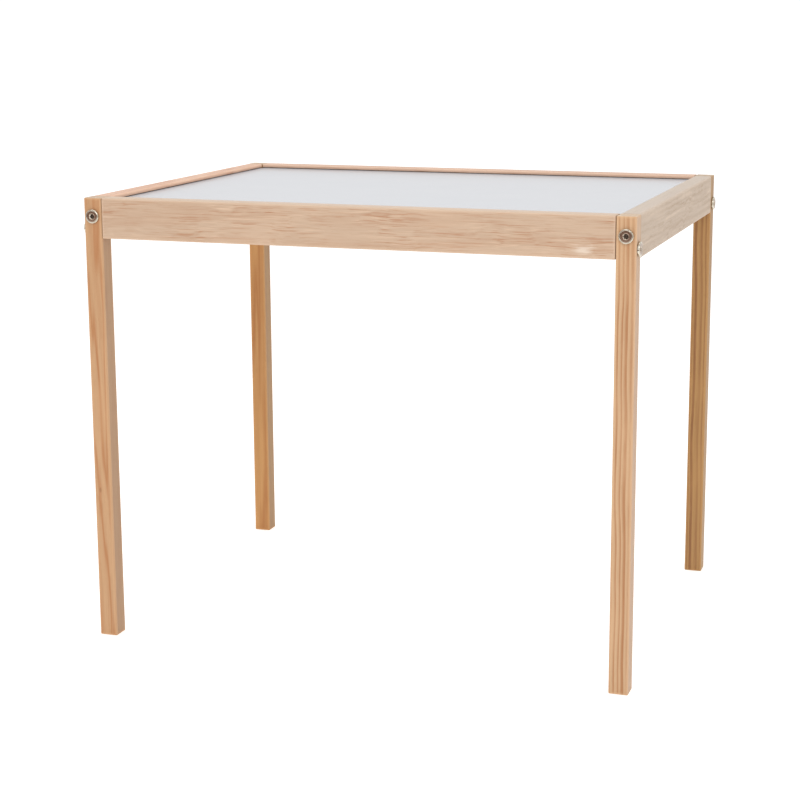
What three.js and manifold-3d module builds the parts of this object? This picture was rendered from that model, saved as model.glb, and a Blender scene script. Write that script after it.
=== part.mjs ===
// Light box table: a pine leg-and-rail frame that holds an opal panel over a shallow lit tray.
// Millimetres, +Z up. The origin is the centre of the footprint, on the floor. The long front
// and rear rails run along X, the short side rails run along Y, and the front is towards -Y.

import * as THREE from "three";
import { mergeVertices } from "three/addons/utils/BufferGeometryUtils.js";
import Module from "manifold-3d";

const wasm = await Module();
wasm.setup();

// ---- Driving dimensions ----

const LENGTH = 588; // over the legs' side faces
const WIDTH = 442; // over the legs' front and rear faces
const HEIGHT = 480; // floor to frame top
const LEG = 20; // side of the square leg
const RAIL_HEIGHT = 42.5;
const RAIL_THICKNESS = 20;
const GAP = 0.3; // clearance between two pieces that touch

const LEG_ARRIS = 1.2; // rounding of the legs' long edges and ends
const RAIL_TOP_ROUND = 2;
const RAIL_FOOT_ROUND = 1;

const PANEL_THICKNESS = 3;
const PANEL_DROP = 4.5; // frame top down to the panel's surface
const PANEL_IN_GROOVE = 6.5; // how far the panel goes into its groove
const GROOVE_DEPTH = 7; // how far the groove goes into a rail
const GROOVE_CLEARANCE = 0.6; // panel's surface to the top of its groove
const BOARD_THICKNESS = 3;
const REBATE_DEPTH = 8; // ledge in the rails' lower inner edges that takes the base board

const FACE_BOLT_DROP = 19.5; // frame top down to the bolts that enter the short rails
const SIDE_BOLT_DROP = 32.5; // frame top down to the bolts that enter the long rails
const BOLT_RADIUS = 3; // M6
const BOLT_LENGTH = 60;
const BORE_PAST_BOLT = 3; // how far a bolt's bore runs past its tip
const BOLT_HEAD_RADIUS = 7.5;
const BOLT_HEAD_HEIGHT = 2.5;
const BOLT_HEAD_BEVEL = 1.3;
const HEX_KEY = 4; // across the flats
const HEX_DEPTH = 2.6;

const NUT_RADIUS = 5; // barrel nut
const NUT_LENGTH = 14;
const NUT_SET_IN = 30; // rail end to the barrel nut's axis
const NUT_HOLE_DEPTH = 17.6; // from the rail's inner face
const NUT_SLOT = { width: 1.2, depth: 1.5 };

const DOWEL_RADIUS = 3;
const DOWEL_LENGTH = 24;
const DOWEL_DROP = 11; // frame top down to the dowels
const DOWEL_IN_LEG = 6;
const POINT_CHAMFER = 1; // on the ends of bolts and dowels

const SCREW_LENGTH = 12;
const SCREW_RADIUS = 1.5;
const SCREW_HEAD_RADIUS = 3;
const SCREW_HEAD_HEIGHT = 1.7;
const SCREW_POINT = 3; // length of the screw's tapered point
const SCREW_RECESS = { length: 2.8, width: 0.7, depth: 1 };
const SCREW_INSET = 4; // rail's inner face to the base screws' axis
const LONG_SCREWS = [-180, 0, 180]; // along a long rail
const SHORT_SCREWS = [0]; // along a short rail

const BAR_COUNT = 4;
const BAR = { length: 500, width: 12, thickness: 1.5 };
const LENS = { count: 7, pitch: 76, foot: 5.5, shoulder: 4.8, shoulderHeight: 3.75, height: 5 };
const LENS_SIDES = 8;
const CONNECTOR = { length: 10, width: 8, height: 4, sunk: 0.5 };

const LEAD_RADIUS = 1.5;
const LEAD_SIDES = 8;
const LEAD_STEPS = 2; // rings for each point of a lead's route
const LEAD_CLEARANCE = 1; // board to the lowest stretch of a lead
const LEAD_GAP = 0.6; // a lead's square-cut end to the piece that it enters
const LEAD_STUB = 4; // straight stretch at each end of a lead
const LOOP_OUT = 4.5; // how far a loop between two bars stands out past its stubs
const LOOP_TURN = 10; // how far along Y a loop takes to turn in
const SWITCH_LEAD_RISE = 7; // board to the leads at the switch
const HOP_X = 198; // between two lenses, where a lead crosses over the first bar
const HOP_TURN = 14; // how far along Y a lead takes to turn beside the switch or the driver
const LANE_INSET = 6; // right rail to the inlet's lead, which runs outside the loops

const DRIVER = { length: 60, width: 26, height: 14, round: 2 };
const DRIVER_TAB = { length: 8, width: 16, thickness: 2 };
const DRIVER_PLACE = { x: 205, y: -100.5 };

const SWITCH_PLACE = { x: 225, y: -178 };
const BEZEL = { length: 21, width: 15, height: 2 };
const SWITCH_BODY = { length: 18.6, width: 12.6, height: 19 };
const SWITCH_POCKET = { length: 16, width: 9.6, depth: 8.8 };
const SWITCH_BLADE = { thickness: 0.8, width: 4.8, length: 7, apart: 8 };
const ROCKER = { length: 14, width: 8.8, pin: 1, pinSpan: 11.6 };
const ROCKER_SIDE = { middle: -4, tip: -5.2, shoulder: 1.5, shoulderIn: 0.8, keel: 3, keelHalf: 2.5 };
const ROCKER_TILT = THREE.MathUtils.degToRad(9); // off to one side of level, on to the other
const PIVOT_HEIGHT = 1; // the rocker's pivot above the board's lower face

const INLET_X = 200;
const INLET_Z = 458;
const INLET = { barrel: 5.3, flange: 7, flangeHeight: 1.5, flangeChamfer: 0.5, depth: 16 };
const INLET_BORE = { radius: 3.2, depth: 9, pin: 1, pinBelowFace: 1 };
const INLET_WEB = 3; // wood left between the inlet's flange and its nut
const INLET_POCKET_RADIUS = 8.5;
const INLET_NUT = { flats: 13, height: 2.5 };

// ---- Derived places ----

const LEG_X = (LENGTH - LEG) / 2;
const LEG_Y = (WIDTH - LEG) / 2;
const LONG_SPAN = LENGTH - 2 * LEG; // between two legs
const SHORT_SPAN = WIDTH - 2 * LEG;
const OPEN_X = LENGTH / 2 - RAIL_THICKNESS; // half of the opening between the rails' inner faces
const OPEN_Y = WIDTH / 2 - RAIL_THICKNESS;
const RAIL_FOOT = HEIGHT - RAIL_HEIGHT;
const PANEL_TOP = HEIGHT - PANEL_DROP;
const BOARD_FOOT = RAIL_FOOT + GAP;
const BOARD_TOP = BOARD_FOOT + BOARD_THICKNESS;
const REBATE_TOP = BOARD_TOP + GAP;
const NUT_FROM_FACE = LEG + NUT_SET_IN; // leg's outer face to the barrel nut's axis
const LEAD_Z = BOARD_TOP + LEAD_RADIUS + LEAD_CLEARANCE; // the leads' centre over the board
const BOLT_FROM_INSIDE = RAIL_THICKNESS - LEG / 2; // a rail's inner face to its bolts' axis
const CUT = 1; // how far a cutting tool starts outside the surface it cuts

const ROUND = 12; // sides of a small round piece
const ROUND_HEAD = 20; // sides of a bolt head and of the inlet

// ---- Materials ----

const FINISHES = {
  legPine: { color: 0xcf9f72, roughness: 0.62, metalness: 0 },
  railPine: { color: 0xd6b594, roughness: 0.66, metalness: 0 },
  beech: { color: 0xd3b088, roughness: 0.7, metalness: 0 },
  opal: { color: 0xe4e6ea, roughness: 0.28, metalness: 0 },
  whiteBoard: { color: 0xdedcd6, roughness: 0.6, metalness: 0 },
  nickel: { color: 0xc9c5bf, roughness: 0.2, metalness: 1 },
  zinc: { color: 0xb9bcc0, roughness: 0.38, metalness: 1 },
  circuit: { color: 0xf1f1ee, roughness: 0.5, metalness: 0 },
  blackPlastic: { color: 0x1b1b1d, roughness: 0.45, metalness: 0 },
  whitePlastic: { color: 0xe9e9e6, roughness: 0.45, metalness: 0 },
  leadJacket: { color: 0xd9d9d6, roughness: 0.55, metalness: 0 },
};

// ---- Geometry helpers ----

function solid(geometry) {
  const bare = new THREE.BufferGeometry();
  bare.setAttribute("position", geometry.getAttribute("position"));
  bare.setIndex(geometry.getIndex());
  const merged = mergeVertices(bare);
  return new wasm.Manifold(
    new wasm.Mesh({
      numProp: 3,
      vertProperties: new Float32Array(merged.getAttribute("position").array),
      triVerts: new Uint32Array(merged.getIndex().array),
    }),
  );
}

function surface(manifold) {
  const mesh = manifold.getMesh();
  const geometry = new THREE.BufferGeometry();
  geometry.setAttribute("position", new THREE.BufferAttribute(mesh.vertProperties, 3));
  geometry.setIndex(new THREE.BufferAttribute(mesh.triVerts, 1));
  const faceted = geometry.toNonIndexed();
  faceted.computeVertexNormals();
  return faceted;
}

function carve(geometry, cutters) {
  return surface(cutters.reduce((left, cutter) => left.subtract(solid(cutter)), solid(geometry)));
}

function join(geometry, additions) {
  return surface(additions.reduce((sum, addition) => sum.add(solid(addition)), solid(geometry)));
}

function block(length, width, height, x = 0, y = 0, z = 0) {
  return new THREE.BoxGeometry(length, width, height).translate(x, y, z);
}

// A round rod along an axis, centred on a point.
function rod(axis, radius, length, [x, y, z]) {
  const geometry = new THREE.CylinderGeometry(radius, radius, length, ROUND);
  if (axis === "x") geometry.rotateZ(Math.PI / 2);
  if (axis === "z") geometry.rotateX(Math.PI / 2);
  return geometry.translate(x, y, z);
}

// A solid of revolution about Z, from [radius, height] points that run upwards.
function revolve(points, sides) {
  const profile = points.map(([radius, height]) => new THREE.Vector2(radius, height));
  return new THREE.LatheGeometry(profile, sides).rotateX(Math.PI / 2);
}

function hexagon(flats) {
  const corner = flats / Math.sqrt(3);
  const corners = Array.from({ length: 6 }, (_, i) => (i * Math.PI) / 3);
  return new THREE.Shape(
    corners.map((angle) => new THREE.Vector2(corner * Math.cos(angle), corner * Math.sin(angle))),
  );
}

function prism(shape, depth, z = 0) {
  return new THREE.ExtrudeGeometry(shape, { depth, bevelEnabled: false }).translate(0, 0, z);
}

function roundedSquare(side, radius) {
  const half = side / 2;
  const flat = half - radius;
  const shape = new THREE.Shape();
  shape.absarc(flat, flat, radius, 0, Math.PI / 2);
  shape.absarc(-flat, flat, radius, Math.PI / 2, Math.PI);
  shape.absarc(-flat, -flat, radius, Math.PI, 1.5 * Math.PI);
  shape.absarc(flat, -flat, radius, 1.5 * Math.PI, 2 * Math.PI);
  return shape;
}

// ---- The scene ----

const table = new THREE.Group();

function piece(name, geometry, finish, parent = table) {
  const mesh = new THREE.Mesh(geometry, new THREE.MeshStandardMaterial(FINISHES[finish]));
  mesh.name = name;
  parent.add(mesh);
  return mesh;
}

// Turns a piece made along +Z to point along a direction.
function point(mesh, direction) {
  mesh.quaternion.setFromUnitVectors(new THREE.Vector3(0, 0, 1), new THREE.Vector3(...direction));
}

const CORNERS = [
  { name: "front_left", sx: -1, sy: -1 },
  { name: "front_right", sx: 1, sy: -1 },
  { name: "rear_left", sx: -1, sy: 1 },
  { name: "rear_right", sx: 1, sy: 1 },
];

// ---- Legs ----

// The bolts go right through the leg. The dowel holes are blind, from the two inner faces.
function legGeometry({ sx, sy }) {
  const post = new THREE.ExtrudeGeometry(roundedSquare(LEG, LEG_ARRIS), {
    depth: HEIGHT - 2 * LEG_ARRIS,
    curveSegments: 3,
    bevelThickness: LEG_ARRIS,
    bevelSize: LEG_ARRIS / 2,
    bevelOffset: -LEG_ARRIS / 2,
    bevelSegments: 2,
  }).translate(0, 0, LEG_ARRIS);
  const boltHole = BOLT_RADIUS + GAP;
  const dowelHole = DOWEL_RADIUS + GAP;
  const dowelMiddle = LEG / 2 - DOWEL_IN_LEG / 2 + CUT / 2;
  const dowelCut = DOWEL_IN_LEG + CUT;
  const dowelZ = HEIGHT - DOWEL_DROP;
  return carve(post, [
    rod("y", boltHole, LEG + 2 * CUT, [0, 0, HEIGHT - FACE_BOLT_DROP]),
    rod("x", boltHole, LEG + 2 * CUT, [0, 0, HEIGHT - SIDE_BOLT_DROP]),
    rod("x", dowelHole, dowelCut, [-sx * dowelMiddle, 0, dowelZ]),
    rod("y", dowelHole, dowelCut, [0, -sy * dowelMiddle, dowelZ]),
  ]);
}

for (const corner of CORNERS) {
  const leg = piece(`leg_${corner.name}`, legGeometry(corner), "legPine");
  leg.position.set(corner.sx * LEG_X, corner.sy * LEG_Y, 0);
}

// ---- Rails ----

// A rail's section, from its outer face (0) to its inner face, and up from its lower edge.
function railSection() {
  const inner = RAIL_THICKNESS;
  const top = RAIL_HEIGHT;
  const ledge = REBATE_TOP - RAIL_FOOT;
  const grooveTop = top - PANEL_DROP + GROOVE_CLEARANCE;
  const grooveFoot = top - PANEL_DROP - PANEL_THICKNESS - GAP;
  const section = new THREE.Shape();
  section.moveTo(RAIL_FOOT_ROUND, 0);
  section.lineTo(inner - REBATE_DEPTH, 0);
  section.lineTo(inner - REBATE_DEPTH, ledge);
  section.lineTo(inner, ledge);
  section.lineTo(inner, grooveFoot);
  section.lineTo(inner - GROOVE_DEPTH, grooveFoot);
  section.lineTo(inner - GROOVE_DEPTH, grooveTop);
  section.lineTo(inner, grooveTop);
  section.absarc(inner - RAIL_TOP_ROUND, top - RAIL_TOP_ROUND, RAIL_TOP_ROUND, 0, Math.PI / 2);
  section.absarc(RAIL_TOP_ROUND, top - RAIL_TOP_ROUND, RAIL_TOP_ROUND, Math.PI / 2, Math.PI);
  section.absarc(RAIL_FOOT_ROUND, RAIL_FOOT_ROUND, RAIL_FOOT_ROUND, Math.PI, 1.5 * Math.PI);
  return section;
}

// A rail along X with its inner face towards +Y, its section's middle on the X axis.
function railGeometry(span, boltDrop, screws, extraCuts = []) {
  const length = span - 2 * GAP;
  const toRail = new THREE.Matrix4().makeBasis(
    new THREE.Vector3(0, 1, 0),
    new THREE.Vector3(0, 0, 1),
    new THREE.Vector3(1, 0, 0),
  );
  const stick = new THREE.ExtrudeGeometry(railSection(), {
    depth: length,
    curveSegments: 3,
    bevelEnabled: false,
  });
  stick.translate(0, 0, -length / 2).applyMatrix4(toRail);
  stick.translate(0, -RAIL_THICKNESS / 2, RAIL_FOOT);

  const innerFace = RAIL_THICKNESS / 2;
  const boltY = innerFace - BOLT_FROM_INSIDE;
  const boltZ = HEIGHT - boltDrop;
  const boreDepth = BOLT_LENGTH - LEG + BORE_PAST_BOLT;
  const dowelDepth = DOWEL_LENGTH - DOWEL_IN_LEG;
  const cuts = [-1, 1].flatMap((end) => [
    rod("x", BOLT_RADIUS + GAP, boreDepth * 2, [(end * span) / 2, boltY, boltZ]),
    rod("x", DOWEL_RADIUS + GAP, dowelDepth * 2, [(end * span) / 2, boltY, HEIGHT - DOWEL_DROP]),
    rod("y", NUT_RADIUS + GAP, NUT_HOLE_DEPTH * 2, [end * (span / 2 - NUT_SET_IN), innerFace, boltZ]),
  ]);
  const screwHole = SCREW_LENGTH - BOARD_THICKNESS + CUT;
  const screwY = innerFace - SCREW_INSET;
  for (const x of screws) {
    cuts.push(rod("z", SCREW_RADIUS + GAP, screwHole * 2, [x, screwY, REBATE_TOP]));
  }
  return carve(stick, [...cuts, ...extraCuts]);
}

// The inlet's hole: a wide pocket from the inside, and a close hole through the web that is left.
// The rear rail is turned half a turn, so its own X runs the other way.
const inletPocket = RAIL_THICKNESS - INLET_WEB;
const inletCuts = [
  rod("y", INLET_POCKET_RADIUS, inletPocket * 2, [-INLET_X, RAIL_THICKNESS / 2, INLET_Z]),
  rod("y", INLET.barrel + GAP, RAIL_THICKNESS * 2, [-INLET_X, 0, INLET_Z]),
];

const longRail = { span: LONG_SPAN, drop: SIDE_BOLT_DROP, screws: LONG_SCREWS };
const shortRail = { span: SHORT_SPAN, drop: FACE_BOLT_DROP, screws: SHORT_SCREWS };
const railX = (LENGTH - RAIL_THICKNESS) / 2;
const railY = (WIDTH - RAIL_THICKNESS) / 2;
const RAILS = [
  { ...longRail, name: "rail_front", turn: 0, x: 0, y: -railY },
  { ...longRail, name: "rail_rear", turn: Math.PI, x: 0, y: railY, cuts: inletCuts },
  { ...shortRail, name: "rail_right", turn: Math.PI / 2, x: railX, y: 0 },
  { ...shortRail, name: "rail_left", turn: -Math.PI / 2, x: -railX, y: 0 },
];
for (const { name, span, drop, screws, turn, x, y, cuts } of RAILS) {
  const rail = piece(name, railGeometry(span, drop, screws, cuts), "railPine");
  rail.rotation.z = turn;
  rail.position.set(x, y, 0);
}

// ---- Connector bolts, barrel nuts and dowels ----

// A bolt with its head above Z = 0 and its shank below.
function boltGeometry() {
  const headFoot = GAP;
  const headTop = headFoot + BOLT_HEAD_HEIGHT;
  const tip = -BOLT_LENGTH;
  const blank = revolve(
    [
      [0, tip],
      [BOLT_RADIUS - POINT_CHAMFER, tip],
      [BOLT_RADIUS, tip + POINT_CHAMFER],
      [BOLT_RADIUS, headFoot],
      [BOLT_HEAD_RADIUS, headFoot],
      [BOLT_HEAD_RADIUS, headTop - BOLT_HEAD_BEVEL],
      [BOLT_HEAD_RADIUS - BOLT_HEAD_BEVEL, headTop],
      [0, headTop],
    ],
    ROUND_HEAD,
  );
  return carve(blank, [prism(hexagon(HEX_KEY), HEX_DEPTH + CUT, headTop - HEX_DEPTH)]);
}

// A barrel nut along Z with its thread across it along X, and a screwdriver slot in one end.
function barrelNutGeometry() {
  const body = rod("z", NUT_RADIUS, NUT_LENGTH, [0, 0, 0]);
  return carve(body, [
    rod("x", BOLT_RADIUS + GAP, NUT_RADIUS * 2 + 2 * CUT, [0, 0, 0]),
    block(NUT_RADIUS * 2 + 2 * CUT, NUT_SLOT.width, 2 * NUT_SLOT.depth, 0, 0, NUT_LENGTH / 2),
  ]);
}

function dowelGeometry() {
  const half = DOWEL_LENGTH / 2 - GAP;
  return revolve(
    [
      [0, -half],
      [DOWEL_RADIUS - POINT_CHAMFER, -half],
      [DOWEL_RADIUS, POINT_CHAMFER - half],
      [DOWEL_RADIUS, half - POINT_CHAMFER],
      [DOWEL_RADIUS - POINT_CHAMFER, half],
      [0, half],
    ],
    ROUND,
  );
}

for (const { name, sx, sy } of CORNERS) {
  const legX = sx * LEG_X;
  const legY = sy * LEG_Y;
  const dowelInset = LEG + DOWEL_LENGTH / 2 - DOWEL_IN_LEG; // leg's outer face to the dowel's middle
  const dowelZ = HEIGHT - DOWEL_DROP;

  const faceBolt = piece(`bolt_face_${name}`, boltGeometry(), "nickel");
  point(faceBolt, [0, sy, 0]);
  faceBolt.position.set(legX, (sy * WIDTH) / 2, HEIGHT - FACE_BOLT_DROP);

  const sideBolt = piece(`bolt_side_${name}`, boltGeometry(), "nickel");
  point(sideBolt, [sx, 0, 0]);
  sideBolt.position.set((sx * LENGTH) / 2, legY, HEIGHT - SIDE_BOLT_DROP);

  // The nut for a bolt along Y lies along X, slot inwards, and is turned to line up its thread.
  const faceNut = piece(`barrel_nut_face_${name}`, barrelNutGeometry(), "zinc");
  point(faceNut, [-sx, 0, 0]);
  faceNut.rotateZ(Math.PI / 2);
  faceNut.position.set(legX, sy * (WIDTH / 2 - NUT_FROM_FACE), HEIGHT - FACE_BOLT_DROP);

  const sideNut = piece(`barrel_nut_side_${name}`, barrelNutGeometry(), "zinc");
  point(sideNut, [0, -sy, 0]);
  sideNut.position.set(sx * (LENGTH / 2 - NUT_FROM_FACE), legY, HEIGHT - SIDE_BOLT_DROP);

  const faceDowel = piece(`dowel_face_${name}`, dowelGeometry(), "beech");
  point(faceDowel, [0, sy, 0]);
  faceDowel.position.set(legX, sy * (WIDTH / 2 - dowelInset), dowelZ);

  const sideDowel = piece(`dowel_side_${name}`, dowelGeometry(), "beech");
  point(sideDowel, [sx, 0, 0]);
  sideDowel.position.set(sx * (LENGTH / 2 - dowelInset), legY, dowelZ);
}

// ---- Opal panel and base board ----

// A plate that reaches into the rails on every side, its corners notched round the legs.
function notchedPlate(reach, thickness) {
  const x = OPEN_X + reach;
  const y = OPEN_Y + reach;
  const nx = OPEN_X - GAP;
  const ny = OPEN_Y - GAP;
  const outline = [
    [-nx, -y],
    [nx, -y],
    [nx, -ny],
    [x, -ny],
    [x, ny],
    [nx, ny],
    [nx, y],
    [-nx, y],
    [-nx, ny],
    [-x, ny],
    [-x, -ny],
    [-nx, -ny],
  ];
  return prism(new THREE.Shape(outline.map(([px, py]) => new THREE.Vector2(px, py))), thickness);
}

const panel = piece("diffuser_panel", notchedPlate(PANEL_IN_GROOVE, PANEL_THICKNESS), "opal");
panel.position.z = PANEL_TOP - PANEL_THICKNESS;

const screwReachX = OPEN_X + SCREW_INSET;
const screwReachY = OPEN_Y + SCREW_INSET;
const SCREW_PLACES = [
  ...LONG_SCREWS.map((x) => [x, -screwReachY]),
  ...LONG_SCREWS.map((x) => [x, screwReachY]),
  ...SHORT_SCREWS.map((y) => [screwReachX, y]),
  ...SHORT_SCREWS.map((y) => [-screwReachX, y]),
];

// A countersunk screw's outline, or the hole for it when it is grown by a gap.
function screwProfile(grow) {
  return [
    [SCREW_HEAD_RADIUS + grow, 0],
    [SCREW_RADIUS + grow, SCREW_HEAD_HEIGHT],
  ];
}

function screwHole(x, y) {
  const through = BOARD_THICKNESS + CUT;
  const outline = [
    [0, -CUT],
    [SCREW_HEAD_RADIUS + GAP, -CUT],
    ...screwProfile(GAP),
    [SCREW_RADIUS + GAP, through],
    [0, through],
  ];
  return revolve(outline, ROUND).translate(x, y, 0);
}

function baseBoardGeometry() {
  const switchHole = block(
    SWITCH_BODY.length + 2 * GAP,
    SWITCH_BODY.width + 2 * GAP,
    BOARD_THICKNESS + 2 * CUT,
    SWITCH_PLACE.x,
    SWITCH_PLACE.y,
    BOARD_THICKNESS / 2,
  );
  return carve(notchedPlate(REBATE_DEPTH - GAP, BOARD_THICKNESS), [
    ...SCREW_PLACES.map(([x, y]) => screwHole(x, y)),
    switchHole,
  ]);
}

const board = piece("base_board", baseBoardGeometry(), "whiteBoard");
board.position.z = BOARD_FOOT;

// A screw with its head at Z = 0 and its point up, with a cross recess in the head.
function screwGeometry() {
  const blank = revolve(
    [[0, 0], ...screwProfile(0), [SCREW_RADIUS, SCREW_LENGTH - SCREW_POINT], [0, SCREW_LENGTH]],
    ROUND,
  );
  const { length, width, depth } = SCREW_RECESS;
  return carve(blank, [block(length, width, 2 * depth), block(width, length, 2 * depth)]);
}

SCREW_PLACES.forEach(([x, y], i) => {
  const screw = piece(`base_screw_${i + 1}`, screwGeometry(), "zinc");
  screw.position.set(x, y, BOARD_FOOT);
});

// ---- Light bars ----

// A circuit bar along X with a row of lenses and a connector at each end, from Z = 0 up.
function lightBarGeometry() {
  const strip = block(BAR.length, BAR.width, BAR.thickness, 0, 0, BAR.thickness / 2);
  const first = (-(LENS.count - 1) * LENS.pitch) / 2;
  const lenses = Array.from({ length: LENS.count }, (_, i) =>
    revolve(
      [
        [0, BAR.thickness / 2],
        [LENS.foot, BAR.thickness / 2],
        [LENS.shoulder, BAR.thickness + LENS.shoulderHeight],
        [0, BAR.thickness + LENS.height],
      ],
      LENS_SIDES,
    ).translate(first + i * LENS.pitch, 0, 0),
  );
  const endX = (BAR.length - CONNECTOR.length) / 2;
  const plugMiddle = BAR.thickness + CONNECTOR.height / 2 - CONNECTOR.sunk;
  const connectors = [-1, 1].map((end) =>
    block(CONNECTOR.length, CONNECTOR.width, CONNECTOR.height, end * endX, 0, plugMiddle),
  );
  return join(strip, [...lenses, ...connectors]);
}

const barPitch = (2 * OPEN_Y) / BAR_COUNT;
const barY = Array.from({ length: BAR_COUNT }, (_, i) => (i + 0.5) * barPitch - OPEN_Y);
barY.forEach((y, i) => {
  const lightBar = piece(`led_bar_${i + 1}`, lightBarGeometry(), "circuit");
  lightBar.position.set(0, y, BOARD_TOP + GAP);
});

// ---- Driver ----

// A potted module with a fixing tab at each end.
function driverGeometry() {
  const shell = new THREE.ExtrudeGeometry(roundedSquare(DRIVER.width, DRIVER.round), {
    depth: DRIVER.height,
    curveSegments: 2,
    bevelEnabled: false,
  }).scale(DRIVER.length / DRIVER.width, 1, 1);
  const { length, width, thickness } = DRIVER_TAB;
  return join(shell, [block(DRIVER.length + 2 * length, width, thickness, 0, 0, thickness / 2)]);
}

const driver = piece("led_driver", driverGeometry(), "whitePlastic");
driver.position.set(DRIVER_PLACE.x, DRIVER_PLACE.y, BOARD_TOP + GAP);

// ---- Rocker switch ----

const switchGroup = new THREE.Group();
switchGroup.position.set(SWITCH_PLACE.x, SWITCH_PLACE.y, BOARD_FOOT);
table.add(switchGroup);

// The bezel lies under the board, and the body stands up through it. The rocker sits in a
// pocket that opens downwards, on two pins in the pocket's side walls.
function switchHousingGeometry() {
  const bezelFoot = -GAP - BEZEL.height;
  const bezel = block(BEZEL.length, BEZEL.width, BEZEL.height, 0, 0, bezelFoot + BEZEL.height / 2);
  const bodyHeight = SWITCH_BODY.height + BEZEL.height;
  const bodyZ = SWITCH_BODY.height - bodyHeight / 2;
  const body = block(SWITCH_BODY.length, SWITCH_BODY.width, bodyHeight, 0, 0, bodyZ);
  const { thickness, width, length, apart } = SWITCH_BLADE;
  const bladeZ = SWITCH_BODY.height + (length - CUT) / 2;
  const blades = [-1, 1].map((side) =>
    block(thickness, width, length + CUT, (side * apart) / 2, 0, bladeZ),
  );
  const pocketZ = bezelFoot + (SWITCH_POCKET.depth - CUT) / 2;
  return carve(join(bezel, [body, ...blades]), [
    block(SWITCH_POCKET.length, SWITCH_POCKET.width, SWITCH_POCKET.depth + CUT, 0, 0, pocketZ),
    rod("y", ROCKER.pin + GAP, SWITCH_BODY.width + 2 * CUT, [0, 0, PIVOT_HEIGHT]),
  ]);
}

// The rocker about its own pivot: two shallow faces below, a blunt keel above, a pin each side.
function rockerGeometry() {
  const half = ROCKER.length / 2;
  const { middle, tip, shoulder, shoulderIn, keel, keelHalf } = ROCKER_SIDE;
  const side = [
    [0, middle],
    [half, tip],
    [half - shoulderIn, shoulder],
    [keelHalf, keel],
    [-keelHalf, keel],
    [shoulderIn - half, shoulder],
    [-half, tip],
  ];
  const body = prism(new THREE.Shape(side.map(([x, y]) => new THREE.Vector2(x, y))), ROCKER.width);
  body.translate(0, 0, -ROCKER.width / 2).rotateX(Math.PI / 2);
  return join(body, [rod("y", ROCKER.pin, ROCKER.pinSpan, [0, 0, 0])]);
}

piece("switch_housing", switchHousingGeometry(), "blackPlastic", switchGroup);
const rocker = piece("switch_rocker", rockerGeometry(), "blackPlastic", switchGroup);
rocker.position.z = PIVOT_HEIGHT;
rocker.rotation.y = -ROCKER_TILT;

// ---- Power inlet ----

const inletGroup = new THREE.Group();
inletGroup.position.set(INLET_X, WIDTH / 2, INLET_Z);
inletGroup.rotation.x = -Math.PI / 2; // the group's +Z points out of the rear rail
table.add(inletGroup);

// A panel socket: an outer flange, a barrel through the rail, a blind bore with its centre pin.
function inletGeometry() {
  const flangeTop = GAP + INLET.flangeHeight;
  const chamferFoot = flangeTop - INLET.flangeChamfer;
  return revolve(
    [
      [0, -INLET.depth],
      [INLET.barrel, -INLET.depth],
      [INLET.barrel, GAP],
      [INLET.flange, GAP],
      [INLET.flange, chamferFoot],
      [INLET.flange - INLET.flangeChamfer, flangeTop],
      [INLET_BORE.radius, flangeTop],
      [INLET_BORE.radius, -INLET_BORE.depth],
      [INLET_BORE.pin, -INLET_BORE.depth],
      [INLET_BORE.pin, -INLET_BORE.pinBelowFace],
      [0, -INLET_BORE.pinBelowFace],
    ],
    ROUND_HEAD,
  );
}

function inletNutGeometry() {
  const ring = prism(hexagon(INLET_NUT.flats), INLET_NUT.height);
  return carve(ring, [rod("z", INLET.barrel + GAP, 2 * (INLET_NUT.height + CUT), [0, 0, 0])]);
}

piece("inlet_socket", inletGeometry(), "blackPlastic", inletGroup);
const inletNut = piece("inlet_nut", inletNutGeometry(), "nickel", inletGroup);
inletNut.position.z = -INLET_WEB - GAP - INLET_NUT.height;

// ---- Leads ----

const leadSection = new THREE.Shape(
  Array.from({ length: LEAD_SIDES }, (_, i) => {
    const angle = (i * 2 * Math.PI) / LEAD_SIDES;
    return new THREE.Vector2(LEAD_RADIUS * Math.cos(angle), LEAD_RADIUS * Math.sin(angle));
  }),
);

function lead(name, points) {
  const path = new THREE.CatmullRomCurve3(points.map((p) => new THREE.Vector3(...p)));
  const geometry = new THREE.ExtrudeGeometry(leadSection, {
    steps: points.length * LEAD_STEPS,
    bevelEnabled: false,
    extrudePath: path,
  });
  piece(name, geometry, "leadJacket");
}

// Each lead leaves and enters square to a face, so its second and last-but-one points lie
// straight off the end points.
const barEnd = BAR.length / 2 + LEAD_GAP;
const stubX = barEnd + LEAD_STUB;
const loopX = stubX + LOOP_OUT;
const plugZ = BOARD_TOP + GAP + BAR.thickness + CONNECTOR.height / 2;

// From the end of one bar round to the end of the next.
function bridge(name, from, to, end) {
  lead(name, [
    [end * barEnd, from, plugZ],
    [end * stubX, from, plugZ],
    [end * loopX, from + LOOP_TURN, LEAD_Z],
    [end * loopX, to - LOOP_TURN, LEAD_Z],
    [end * stubX, to, plugZ],
    [end * barEnd, to, plugZ],
  ]);
}

bridge("lead_bar_1_2", barY[0], barY[1], -1);
bridge("lead_bar_2_3", barY[1], barY[2], 1);
bridge("lead_bar_3_4", barY[2], barY[3], -1);

const driverEnd = DRIVER_PLACE.x + DRIVER.length / 2 + LEAD_GAP;
const driverFront = DRIVER_PLACE.y - DRIVER.width / 2 - LEAD_GAP;
const driverLeadZ = BOARD_TOP + GAP + DRIVER.height / 2;
lead("lead_driver_bar_1", [
  [driverEnd, DRIVER_PLACE.y, driverLeadZ],
  [driverEnd + LEAD_STUB, DRIVER_PLACE.y, driverLeadZ],
  [loopX, DRIVER_PLACE.y - HOP_TURN, LEAD_Z],
  [loopX, barY[0] + LOOP_TURN, LEAD_Z],
  [stubX, barY[0], plugZ],
  [barEnd, barY[0], plugZ],
]);

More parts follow.
